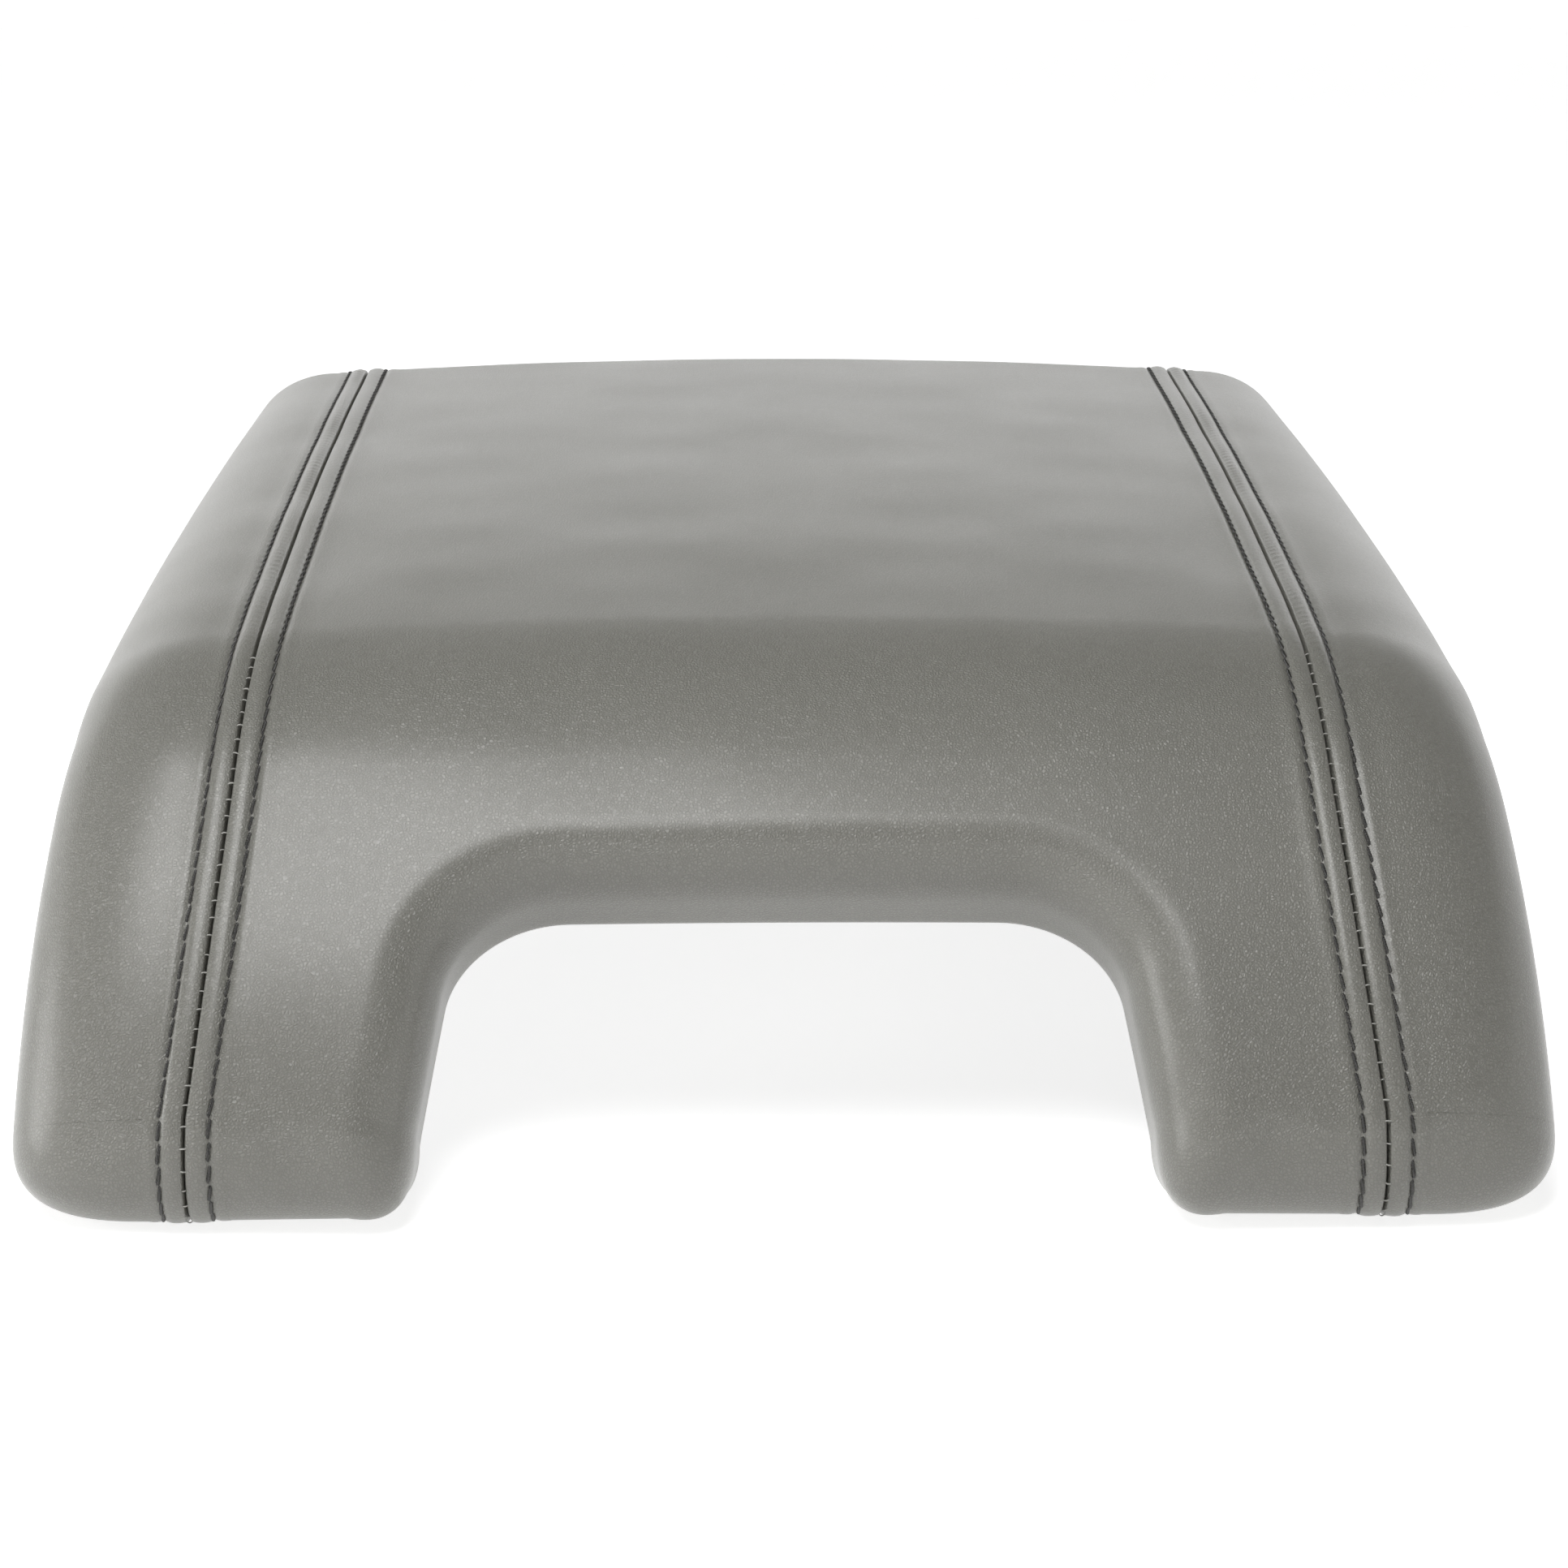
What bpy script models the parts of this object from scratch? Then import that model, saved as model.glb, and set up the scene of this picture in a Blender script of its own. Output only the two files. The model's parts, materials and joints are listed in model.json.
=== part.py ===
"""Padded lid of a wide centre console, on its hinge bracket.

Metres, +Z up. The front of the lid faces -Y and left is -X. The origin is the middle of the
face that the hinge bracket is bolted down by, level with the bottoms of the lid's two legs.
"""

import math

import bmesh
import bpy
from mathutils import Matrix, Vector

# Side profile of the lid: runs along the surface from the rear edge, and the slope at each end
TOP_REAR_RUN = 0.186
TOP_FRONT_RUN = 0.115
FOLD_RUN = 0.057
APRON_RUN = 0.106
SLOPE_REAR = math.radians(-0.9)
SLOPE_MIDDLE = math.radians(2.0)
SLOPE_BEFORE_FOLD = math.radians(4.9)
SLOPE_AFTER_FOLD = math.radians(37.7)
SLOPE_AT_TIPS = math.radians(57.2)

# Widths of the lid, measured from its middle
HALF_WIDTH_REAR = 0.159
HALF_WIDTH_FOLD = 0.1667
HALF_WIDTH_TIPS = 0.1725
FLARE_START = 0.331
CROWN_RADIUS = 2.05

# French seams, and the raised band on each side of their grooves
SEAM_HALF_SPACING = 0.124
SEAM_FLARE = 0.010
SEAM_GAP = 0.0007
GROOVE_DEPTH = 0.0016
BAND_CREST = 0.0024
BAND_RISE = 0.0006
STITCH_OFFSET = 0.0055
SHOULDER_START = 0.009

# Rolled edges: how far in from the outline each roll starts, and how deep it turns
SHOULDER_DROP = 0.020
REAR_ROLL = 0.016
TIP_REACH = 0.020
TIP_DROP = 0.0145
NOTCH_ROLL = 0.015
CORNER_FULLNESS = 2.6

# Notch in the front apron, open at the bottom
NOTCH_TOP = 0.388
NOTCH_TOP_HALF = 0.0493
NOTCH_FILLET = 0.028
NOTCH_FLARE = math.radians(8.2)

# Layers, from the leather inwards
CLEARANCE = 0.0003
SEAT_GAP = 0.0005
LEATHER = 0.0014
FOAM = 0.0076
CARRIER_WALL = 0.0028
RIM_DEPTH = 0.026
HEM_RADIUS = 0.003
HEM_WIDTH = 0.005
CARRIER_FLANGE = 0.0105
RIM_SETBACK = 0.0009
PANEL_THICKNESS = 0.0022
PANEL_EDGE_GAP = 0.0008
CUT_MARGIN = 0.002
TRAY_HALF_WIDTH = 0.040
TRAY_START = 0.100
TRAY_END = 0.215
TRAY_RECESS = 0.006

# Ribs and screw bosses inside the carrier
RIB_THICKNESS = 0.0022
RIB_HEIGHT = 0.0045
LONG_RIB_PLACES = (-0.108, -0.036, 0.036, 0.108)
CROSS_RIB_PLACES = (0.105, 0.185, 0.262)
LONG_RIB_START = 0.030
LONG_RIB_END = 0.292
CROSS_RIB_HALF = 0.118
BOSS_RADIUS = 0.0042
PILOT_RADIUS = 0.0019
SCREW_SHANK = 0.0015
SCREW_HEAD_RADIUS = 0.0036
SCREW_HEAD_HEIGHT = 0.0022
SCREW_BITE = 0.009
PILOT_REACH = 0.010
HOLE_RADIUS = 0.0021
PANEL_SCREWS = ((0.059, 0.150), (0.061, 0.276), (0.044, 0.036), (0.059, 0.424))

# Hinge: its axis runs along X below the rear edge of the lid
HINGE_SETBACK = 0.022
HINGE_DROP = 0.0095
HINGE_SPACING = 0.150
PIN_RADIUS = 0.003
PIN_HEAD_RADIUS = 0.0048
PIN_HEAD_LENGTH = 0.0022
PIN_CLEARANCE = 0.0003
EAR_RADIUS = 0.0078
EAR_STEPS = 6
STEEL = 0.0024
ARM_INSIDE = 0.022
EAR_GAP = 0.0006
LEAF_LENGTH = 0.062
LEAF_WIDTH = 0.054
LEAF_SCREW_SPREAD = 0.034
LEAF_SCREW_SETBACK = 0.046
LEAF_TAIL = 0.005
LEAF_CORNER = 0.006
ARM_EAR_HALF_BASE = 0.012
BRACKET_EAR_ROOT = 0.022
BRACKET_WIDTH = 0.226
FOOT_LENGTH = 0.036
WEB_TOP_GAP = 0.0115
BRACKET_BEND = 0.004
BOLT_HOLE_RADIUS = 0.0034
BOLT_SPREAD = 0.176
SPRING_WIRE = 0.0008
SPRING_RADIUS = 0.0048
SPRING_TURNS = 3
SPRING_STEPS = 8
SPRING_LEG = 0.020
SPRING_END_GAP = 0.005

# Striker that the console's latch catches, and the rubber stops
STRIKER_PLACE = 0.276
STRIKER_PLATE_LENGTH = 0.062
STRIKER_PLATE_WIDTH = 0.022
STRIKER_PLATE_CORNER = 0.005
STRIKER_WIRE = 0.0026
STRIKER_LOOP_WIDTH = 0.024
STRIKER_LOOP_DROP = 0.021
STRIKER_SCREW_SPREAD = 0.048
STOPS = ((0.041, 0.262), (0.0365, 0.066))
STOP_RADIUS = 0.0075
STOP_HEIGHT = 0.006
STOP_STEM_RADIUS = 0.0026
STOP_STEM_LENGTH = 0.0062

# Mesh steps
RING_STEPS = 4
TOP_STEPS = 4
FOLD_STEPS = 3
APRON_STEPS = 1
LEG_ARC_STEPS = 2
LEG_STEPS = 2
LEG_WIDTH_STEPS = 1
NOTCH_TOP_STEPS = 2
NOTCH_ARC_STEPS = 2

COLLECTION = "console_lid"

FOLD_START = TOP_REAR_RUN + TOP_FRONT_RUN
FOLD_END = FOLD_START + FOLD_RUN
TIP_OUTLINE = FOLD_END + APRON_RUN
TIP_START = TIP_OUTLINE - TIP_REACH
HEM_DEPTH = RIM_DEPTH + CLEARANCE + LEATHER
PANEL_DEPTH = RIM_DEPTH + CLEARANCE
PANEL_UNDERSIDE = PANEL_DEPTH + PANEL_THICKNESS
FOAM_DEPTH = LEATHER + CLEARANCE
CARRIER_DEPTH = FOAM_DEPTH + FOAM + CLEARANCE
CARRIER_SIDE_DEPTH = LEATHER + CLEARANCE + SEAT_GAP


def arc_chain():
    """Stretches of the side profile, each an arc: length, slope at its start and at its end."""
    slopes = (SLOPE_REAR, SLOPE_MIDDLE, SLOPE_BEFORE_FOLD, SLOPE_AFTER_FOLD, SLOPE_AT_TIPS)
    runs = (TOP_REAR_RUN, TOP_FRONT_RUN, FOLD_RUN, APRON_RUN - TIP_REACH)
    return list(zip(runs, slopes[:-1], slopes[1:]))


def profile(run):
    """Forward distance, height and slope of the side profile at a run from the rear edge."""
    forward = 0.0
    height = 0.0
    slope = SLOPE_REAR
    left = run
    for length, start, end in arc_chain():
        step = min(left, length)
        bend = (end - start) / length
        slope = start + bend * max(step, 0.0)
        if step < 0:
            return forward + step * math.cos(slope), height - step * math.sin(slope), slope
        forward += (math.sin(slope) - math.sin(start)) / bend
        height += (math.cos(slope) - math.cos(start)) / bend
        left -= step
        if left <= 0:
            return forward, height, slope
    return forward + left * math.cos(slope), height - left * math.sin(slope), slope


def crown(across):
    """How much the top has dropped below its middle at a distance across."""
    return across * across / (2 * CROWN_RADIUS)


def seam_place(run):
    """Distance of the seam from the middle of the lid."""
    share = max(0.0, (run - FOLD_START) / (TIP_OUTLINE - FOLD_START))
    return SEAM_HALF_SPACING + SEAM_FLARE * share ** 2


def half_width(run):
    """Half the lid's width at a run from the rear edge."""
    if run < FLARE_START:
        share = max(0.0, run / FLARE_START)
        return HALF_WIDTH_REAR + (HALF_WIDTH_FOLD - HALF_WIDTH_REAR) * share
    share = min(1.0, (run - FLARE_START) / (TIP_OUTLINE - FLARE_START))
    return HALF_WIDTH_FOLD + (HALF_WIDTH_TIPS - HALF_WIDTH_FOLD) * math.sin(share * math.pi / 2)


def tip_rake():
    """How far the leg's end draws back for each unit of depth, so that it lies level."""
    return 1.0 / math.tan(SLOPE_AT_TIPS)


def roll_end(reach, drop, rake):
    """Angle at which a rolled edge has turned into its raked wall."""
    return math.pi / 2 + math.atan(rake * drop / reach)


def leg_bottom():
    """Height of the level leg ends below the rear edge of the profile."""
    forward, height, slope = profile(TIP_START)
    angle = roll_end(TIP_REACH, TIP_DROP, tip_rake())
    base = crown(seam_place(TIP_START) + SHOULDER_START)
    reach = TIP_REACH * math.sin(angle)
    drop = base + TIP_DROP * (1 - math.cos(angle))
    return height - reach * math.sin(slope) - drop * math.cos(slope)


LID_TOP = -leg_bottom()
LEAF_TOP = LID_TOP - PANEL_UNDERSIDE - crown(HINGE_SPACING / 2 + LEAF_WIDTH / 2) - CLEARANCE
HINGE_HEIGHT = LEAF_TOP - STEEL - HINGE_DROP
HINGE_PLACE = FOOT_LENGTH / 2 - STEEL / 2
LID_REAR = HINGE_PLACE + HINGE_SETBACK


def surface_point(across, run, depth):
    """Point at a depth below the lid's surface, measured square to the side profile."""
    forward, height, slope = profile(run)
    return Vector((
        across,
        LID_REAR - forward + depth * math.sin(slope),
        LID_TOP + height - depth * math.cos(slope),
    ))


def surface_frame(across, run, depth):
    """Placement at a depth below the lid's surface, with Z along the outward normal."""
    along = Matrix.Rotation(profile(run)[2], 4, "X")
    sideways = Matrix.Rotation(across / CROWN_RADIUS, 4, "Y")
    point = surface_point(across, run, depth + crown(across))
    return Matrix.Translation(point) @ along @ sideways


class Station:
    """One place on the edge of the nearly flat area, where a rolled edge starts."""

    def __init__(self, across, run, reach, drop, rake):
        self.across = across
        self.run = run
        self.reach = Vector(reach)
        self.drop = drop
        self.rake = rake
        self.length = self.reach.length
        self.outward = self.reach.normalized()
        self.end = roll_end(self.length, drop, rake)

    def place(self, sideways, depth):
        """Point on the rolled edge, sideways from the station and at a depth."""
        spot = Vector((self.across, self.run)) + self.outward * sideways
        return surface_point(spot.x, spot.y, depth + crown(self.across))

    def ring(self, step, inset):
        """Point on the roll, where steps run from 0 at its start to RING_STEPS at the wall."""
        angle = self.end * step / RING_STEPS
        across = self.drop * math.sin(angle)
        inward = self.length * math.cos(angle)
        size = math.hypot(across, inward)
        sideways = self.length * math.sin(angle) - inset * across / size
        depth = self.drop * (1 - math.cos(angle)) + inset * inward / size
        return self.place(sideways, depth)

    def wall(self, depth, inset):
        """How far out the raked wall stands at a depth."""
        start = self.drop * (1 - math.cos(self.end))
        outer = self.length * math.sin(self.end) - self.rake * (depth - start)
        return outer - inset * math.hypot(1.0, self.rake)

    def hem_centre(self):
        """How far out the middle of the hem's turn lies."""
        lean = math.atan(self.rake)
        start = HEM_DEPTH - HEM_RADIUS * (1 - math.sin(lean))
        return self.wall(start, 0.0) - HEM_RADIUS * math.cos(lean)

    def leather_hem(self):
        """Points of the leather's wall, its turn under the rim and its glued flange."""
        centre = self.hem_centre()
        depth = HEM_DEPTH - HEM_RADIUS
        lean = math.atan(self.rake)
        points = []
        for angle in (lean, (lean + math.pi / 2) / 2, math.pi / 2):
            sideways = centre + HEM_RADIUS * math.cos(angle)
            points.append(self.place(sideways, depth + HEM_RADIUS * math.sin(angle)))
        points.append(self.place(centre - HEM_WIDTH, HEM_DEPTH))
        return points

    def carrier_rim(self):
        """Points of the carrier's wall and of the flange turned in at its foot."""
        out = self.wall(RIM_DEPTH, CARRIER_SIDE_DEPTH) - RIM_SETBACK
        return [self.place(out, RIM_DEPTH), self.place(out - CARRIER_FLANGE, RIM_DEPTH)]

    def panel_edge(self):
        """Point where the underside panel ends, just inside the leather's flange."""
        return self.place(self.hem_centre() - HEM_WIDTH - PANEL_EDGE_GAP, PANEL_DEPTH)


def corner_station(across, run, first, second, share):
    """Station at a convex corner, turned by a share from one rolled edge to the next."""
    angle = share * math.pi / 2
    power = 2 / CORNER_FULLNESS
    weight_first = math.cos(angle) ** power if share < 1 else 0.0
    weight_second = math.sin(angle) ** power
    part = math.sin(angle) ** 2
    reach = first.reach * weight_first + second.reach * weight_second
    drop = first.drop * (1 - part) + second.drop * part
    rake = first.rake * (1 - part) + second.rake * part
    return Station(across, run, reach, drop, rake)


def corner_block(base, first, second, steps):
    """Stations of a convex corner as rings, and those along its outer edge."""
    last = steps[-1]

    def share_at(i, j):
        if i == 0 and j == 0:
            return 0.5
        return 0.5 * j / i if i >= j else 1 - 0.5 * i / j

    def station_at(i, j):
        return corner_station(base[0], base[1], first, second, share_at(i, j))

    rings = [[(station_at(i, j), max(i, j)) for j in steps] for i in steps]
    edge = [station_at(last, j) for j in steps]
    edge += [station_at(i, last) for i in reversed(steps[:-1])]
    return rings, edge


def spaced(start, end, count):
    """Evenly spaced values from start to end, both included."""
    return [start + (end - start) * i / count for i in range(count + 1)]


def notch_edge():
    """Half of the notch's edge from the middle to the tip, as (across, run, outward) triples."""
    radius = NOTCH_FILLET + NOTCH_ROLL
    centre_run = NOTCH_TOP + NOTCH_FILLET
    points = []
    for across in spaced(0.0, NOTCH_TOP_HALF, NOTCH_TOP_STEPS):
        points.append((across, NOTCH_TOP - NOTCH_ROLL, (0.0, 1.0)))
    last = math.pi / 2 - NOTCH_FLARE
    turns = spaced(0.0, math.pi / 4, NOTCH_ARC_STEPS)[1:]
    turns += spaced(math.pi / 4, last, LEG_ARC_STEPS)[1:]
    for angle in turns:
        across = NOTCH_TOP_HALF + radius * math.sin(angle)
        run = centre_run - radius * math.cos(angle)
        points.append((across, run, (-math.sin(angle), math.cos(angle))))
    across, run, outward = points[-1]
    for step in spaced(run, TIP_START, LEG_STEPS)[1:]:
        points.append((across + (step - run) * math.tan(NOTCH_FLARE), step, outward))
    return points


def junction_index():
    """Place in notch_edge where the middle of the top hands over to the leg."""
    return NOTCH_TOP_STEPS + NOTCH_ARC_STEPS


def row_runs():
    """Rows along the lid, from the rear roll to where the tip's roll starts."""
    edge = notch_edge()
    junction = edge[junction_index()][1]
    rows = spaced(REAR_ROLL, FOLD_START, TOP_STEPS)
    rows += spaced(FOLD_START, FOLD_END, FOLD_STEPS)[1:]
    rows += spaced(FOLD_END, junction, APRON_STEPS)[1:]
    rows += [point[1] for point in edge[junction_index() + 1:]]
    return rows


def notch_station(point):
    across, run, outward = point
    return Station(across, run, Vector(outward) * NOTCH_ROLL, NOTCH_ROLL, 0.0)


def rear_station(across):
    return Station(across, REAR_ROLL, (0.0, -REAR_ROLL), REAR_ROLL, 0.0)


def tip_station(across):
    return Station(across, TIP_START, (0.0, TIP_REACH), TIP_DROP, tip_rake())


def side_station(run):
    start = seam_place(run) + SHOULDER_START
    return Station(start, run, (half_width(run) - start, 0.0), SHOULDER_DROP, 0.0)


def seam_columns(run, side):
    """Columns beside the seam, towards the middle (-1) or the shoulder (+1), with their depths."""
    seam = seam_place(run)
    return [
        (seam + side * SEAM_GAP / 2, GROOVE_DEPTH),
        (seam + side * BAND_CREST, -BAND_RISE),
        (seam + side * STITCH_OFFSET, 0.0),
    ]


class Sheet:
    """An open surface that follows the lid, from which the layers are thickened."""

    def __init__(self):
        self.mesh = bmesh.new()

    def grid(self, rows):
        """Joins rows of points with faces."""
        made = [[self.mesh.verts.new(point) for point in row] for row in rows]
        for low, high in zip(made[:-1], made[1:]):
            for i in range(len(low) - 1):
                self.mesh.faces.new((low[i], low[i + 1], high[i + 1], high[i]))

    def finish(self, name, material, thickness, mirror=True, flip_across=False, even=True):
        """Welds the strips, faces them outwards and makes the solid."""
        bmesh.ops.remove_doubles(self.mesh, verts=self.mesh.verts, dist=2e-6)
        if flip_across:
            bmesh.ops.scale(self.mesh, vec=(-1.0, 1.0, 1.0), verts=self.mesh.verts)
        bmesh.ops.recalc_face_normals(self.mesh, faces=self.mesh.faces)
        if sum(face.normal.z * face.calc_area() for face in self.mesh.faces) < 0:
            bmesh.ops.reverse_faces(self.mesh, faces=self.mesh.faces)
        item = add_object(name, self.mesh, material)
        if mirror:
            half = item.modifiers.new("Mirror", "MIRROR")
            half.merge_threshold = 0.00001
        shell = item.modifiers.new("Thickness", "SOLIDIFY")
        shell.thickness = thickness
        shell.offset = -1.0
        shell.use_even_offset = even
        shell.use_quality_normals = True
        return item


class Layer:
    """How deep one layer lies, on the flat area and at some steps of the rolled edges."""

    def __init__(self, flat, rings, edge, seams):
        self.flat = flat
        self.rings = rings
        self.edge = edge
        self.seams = seams


def lay_strip(sheet, layer, stations):
    """A rolled edge along a row of stations, with what follows it."""
    rows = [[station.ring(step, inset) for station in stations] for step, inset in layer.rings]
    sheet.grid(rows)
    lay_edge(sheet, layer, stations)


def lay_edge(sheet, layer, stations):
    """The wall, hem or flange that follows the last ring."""
    if layer.edge is None:
        return
    step, inset = layer.rings[-1]
    columns = [[station.ring(step, inset)] + layer.edge(station) for station in stations]
    sheet.grid([list(row) for row in zip(*columns)])


def lay_corner(sheet, layer, base, first, second):
    """A convex corner between two rolled edges."""
    insets = dict(layer.rings)
    rings, edge = corner_block(base, first, second, list(insets))
    sheet.grid([[station.ring(step, insets[step]) for station, step in row] for row in rings])
    lay_edge(sheet, layer, edge)


def flat_depth(layer, across, run):
    """Depth of a layer on the flat area."""
    return layer.flat(across, run) + crown(across)


def flat_grid(sheet, layer, columns_at, rows):
    """Faces over the flat area, where columns_at(run index) gives (across, run, sink)."""
    grid = []
    for j in range(len(rows)):
        line = []
        for across, run, sink in columns_at(j):
            line.append(surface_point(across, run, flat_depth(layer, across, run) + sink))
        grid.append(line)
    sheet.grid(grid)


def leg_columns(j, rows, edge, seams):
    """Columns of the outer part of the centre panel on row j."""
    junction = junction_index()
    first_leg_row = len(rows) - 1 - (len(edge) - 1 - junction)
    inner = edge[junction][0] if j <= first_leg_row else edge[junction + j - first_leg_row][0]
    run = rows[j]
    if seams:
        outer = [(across, run, sink) for across, sink in reversed(seam_columns(run, -1))]
    else:
        outer = [(seam_place(run), run, 0.0)]
    start = [(across, run, 0.0) for across in spaced(inner, outer[0][0], LEG_WIDTH_STEPS)]
    return start[:-1] + outer


def middle_columns(j, rows, edge):
    """Columns of the middle of the top on row j, which end on the notch's edge."""
    junction = edge[junction_index()]
    line = []
    for across, end_run, outward in edge[:junction_index() + 1]:
        run = rows[j]
        if run > FOLD_START:
            share = (run - FOLD_START) / (junction[1] - FOLD_START)
            run = FOLD_START + share * (end_run - FOLD_START)
        line.append((across, run, 0.0))
    return line


def rolled_line(columns, station_of, layer, sheet):
    """Rolled edge along the end of columns that may dip into a seam groove."""
    rows = []
    for step, inset in layer.rings:
        fade = 1 - step / RING_STEPS
        line = []
        for across, sink in columns:
            station = station_of(across)
            line.append(station.ring(step, inset + sink * fade))
        rows.append(line)
    sheet.grid(rows)
    lay_edge(sheet, layer, [station_of(across) for across, sink in columns])


def lay_centre(sheet, layer):
    """Half of the area between the seams, with the notch."""
    edge = notch_edge()
    rows = row_runs()
    junction = junction_index()
    middle_rows = rows[:len(rows) - (len(edge) - 1 - junction)]
    flat_grid(sheet, layer, lambda j: middle_columns(j, rows, edge), middle_rows)
    flat_grid(sheet, layer, lambda j: leg_columns(j, rows, edge, layer.seams), rows)
    rear = [(point[0], 0.0) for point in edge[:junction + 1]]
    rolled_line(rear, rear_station, layer, sheet)
    rear = [(across, sink) for across, run, sink in leg_columns(0, rows, edge, layer.seams)]
    rolled_line(rear, rear_station, layer, sheet)
    stations = [notch_station(point) for point in edge]
    lay_strip(sheet, layer, stations)
    tip = leg_columns(len(rows) - 1, rows, edge, layer.seams)
    rolled_line([(across, sink) for across, run, sink in tip], tip_station, layer, sheet)
    corner = (edge[-1][0], TIP_START)
    lay_corner(sheet, layer, corner, stations[-1], tip_station(edge[-1][0]))


def shoulder_columns(run, seams):
    """Columns of the strip between a seam and its shoulder."""
    start = seam_place(run)
    if seams:
        return seam_columns(run, 1) + [(start + SHOULDER_START, 0.0)]
    return [(start, 0.0), (start + SHOULDER_START, 0.0)]


def lay_side(sheet, layer):
    """The area outside the right seam, with its shoulder."""
    rows = row_runs()
    flat_grid(
        sheet,
        layer,
        lambda j: [(across, rows[j], sink) for across, sink in shoulder_columns(rows[j], layer.seams)],
        rows,
    )
    rolled_line(shoulder_columns(rows[0], layer.seams), rear_station, layer, sheet)
    rolled_line(shoulder_columns(rows[-1], layer.seams), tip_station, layer, sheet)
    stations = [side_station(run) for run in rows]
    lay_strip(sheet, layer, stations)
    start = stations[0]
    end = stations[-1]
    lay_corner(sheet, layer, (start.across, start.run), start, rear_station(start.across))
    lay_corner(sheet, layer, (end.across, end.run), end, tip_station(end.across))


def make_material(name, colour, roughness, metallic):
    """Plain surface with one colour."""
    material = bpy.data.materials.new(name)
    material.use_nodes = True
    shader = material.node_tree.nodes["Principled BSDF"]
    shader.inputs["Base Color"].default_value = (*colour, 1.0)
    shader.inputs["Roughness"].default_value = roughness
    shader.inputs["Metallic"].default_value = metallic
    material.diffuse_color = (*colour, 1.0)
    return material


def add_object(name, mesh, material):
    """Makes an object of a bmesh in the part's collection."""
    data = bpy.data.meshes.new(name)
    mesh.to_mesh(data)
    mesh.free()
    data.materials.append(material)
    item = bpy.data.objects.new(name, data)
    bpy.data.collections[COLLECTION].objects.link(item)
    return item


def add_cutter(item):
    """Moves an object to the cutters, where it is only a guide."""
    bpy.data.collections[COLLECTION].objects.unlink(item)
    bpy.data.collections[COLLECTION + "_cutters"].objects.link(item)
    item.hide_render = True
    item.display_type = "WIRE"
    return item


def combine(item, other, operation):
    """Boolean of an object with another, or with overlapping solids in one mesh."""
    step = item.modifiers.new(operation.title(), "BOOLEAN")
    step.operation = operation
    step.solver = "EXACT"
    step.use_self = operation == "UNION"
    step.object = other


def cylinder(mesh, matrix, radius, low, high, sides):
    """Adds a cylinder along the placement's Z between two heights."""
    shift = Matrix.Translation((0.0, 0.0, (low + high) / 2))
    bmesh.ops.create_cone(
        mesh,
        cap_ends=True,
        segments=sides,
        radius1=radius,
        radius2=radius,
        depth=high - low,
        matrix=matrix @ shift,
    )


def box(mesh, low, high):
    """Adds a box between two corners."""
    size = [b - a for a, b in zip(low, high)]
    centre = [(a + b) / 2 for a, b in zip(low, high)]
    matrix = Matrix.Translation(centre) @ Matrix.Diagonal((*size, 1.0))
    bmesh.ops.create_cube(mesh, size=1.0, matrix=matrix)


def turned(name, outline, matrix, material, sides):
    """Turned piece from (radius, height) points that run down its outer side."""
    mesh = bmesh.new()
    points = [mesh.verts.new((radius, 0.0, height)) for radius, height in outline]
    for low, high in zip(points[:-1], points[1:]):
        mesh.edges.new((low, high))
    item = add_object(name, mesh, material)
    item.matrix_world = matrix
    screw = item.modifiers.new("Turn", "SCREW")
    screw.steps = sides
    screw.render_steps = sides
    screw.use_merge_vertices = True
    screw.merge_threshold = 0.00001
    return item


def plate(name, outlines, thickness, matrix, material):
    """Flat plate from closed outlines, of which inner ones are holes, centred on its plane."""
    curve = bpy.data.curves.new(name, "CURVE")
    curve.dimensions = "2D"
    curve.fill_mode = "BOTH"
    curve.extrude = thickness / 2
    for points in outlines:
        spline = curve.splines.new("POLY")
        spline.points.add(len(points) - 1)
        for target, (x, y) in zip(spline.points, points):
            target.co = (x, y, 0.0, 1.0)
        spline.use_cyclic_u = True
    flat = bpy.data.objects.new(name + "_outline", curve)
    bpy.data.collections[COLLECTION].objects.link(flat)
    return as_mesh(flat, name, matrix, material)


def as_mesh(curve_object, name, matrix, material):
    """Turns a curve object into a mesh object with its caps welded."""
    graph = bpy.context.evaluated_depsgraph_get()
    data = bpy.data.meshes.new_from_object(curve_object.evaluated_get(graph))
    mesh = bmesh.new()
    mesh.from_mesh(data)
    bmesh.ops.remove_doubles(mesh, verts=mesh.verts, dist=0.00001)
    bpy.data.meshes.remove(data)
    bpy.data.objects.remove(curve_object)
    item = add_object(name, mesh, material)
    item.matrix_world = matrix
    return item


def wire(name, points, radius, resolution, material):
    """Round wire along points."""
    curve = bpy.data.curves.new(name, "CURVE")
    curve.dimensions = "3D"
    curve.bevel_depth = radius
    curve.bevel_resolution = resolution
    curve.use_fill_caps = True
    spline = curve.splines.new("POLY")
    spline.points.add(len(points) - 1)
    for target, point in zip(spline.points, points):
        target.co = (*point, 1.0)
    route = bpy.data.objects.new(name + "_route", curve)
    bpy.data.collections[COLLECTION].objects.link(route)
    return as_mesh(route, name, Matrix.Identity(4), material)


def circle(centre, radius, sides):
    """Points of a circle."""
    angles = [2 * math.pi * i / sides for i in range(sides)]
    return [(centre[0] + radius * math.cos(a), centre[1] + radius * math.sin(a)) for a in angles]


def rounded_rectangle(width, height, corner, steps):
    """Points of a rectangle with round corners, centred on the origin."""
    points = []
    for quarter in range(4):
        sign_x = (1, -1, -1, 1)[quarter]
        sign_y = (1, 1, -1, -1)[quarter]
        for i in range(steps + 1):
            angle = (quarter + i / steps) * math.pi / 2
            x = sign_x * (width / 2 - corner) + corner * math.cos(angle)
            y = sign_y * (height / 2 - corner) + corner * math.sin(angle)
            points.append((x, y))
    return points


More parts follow.
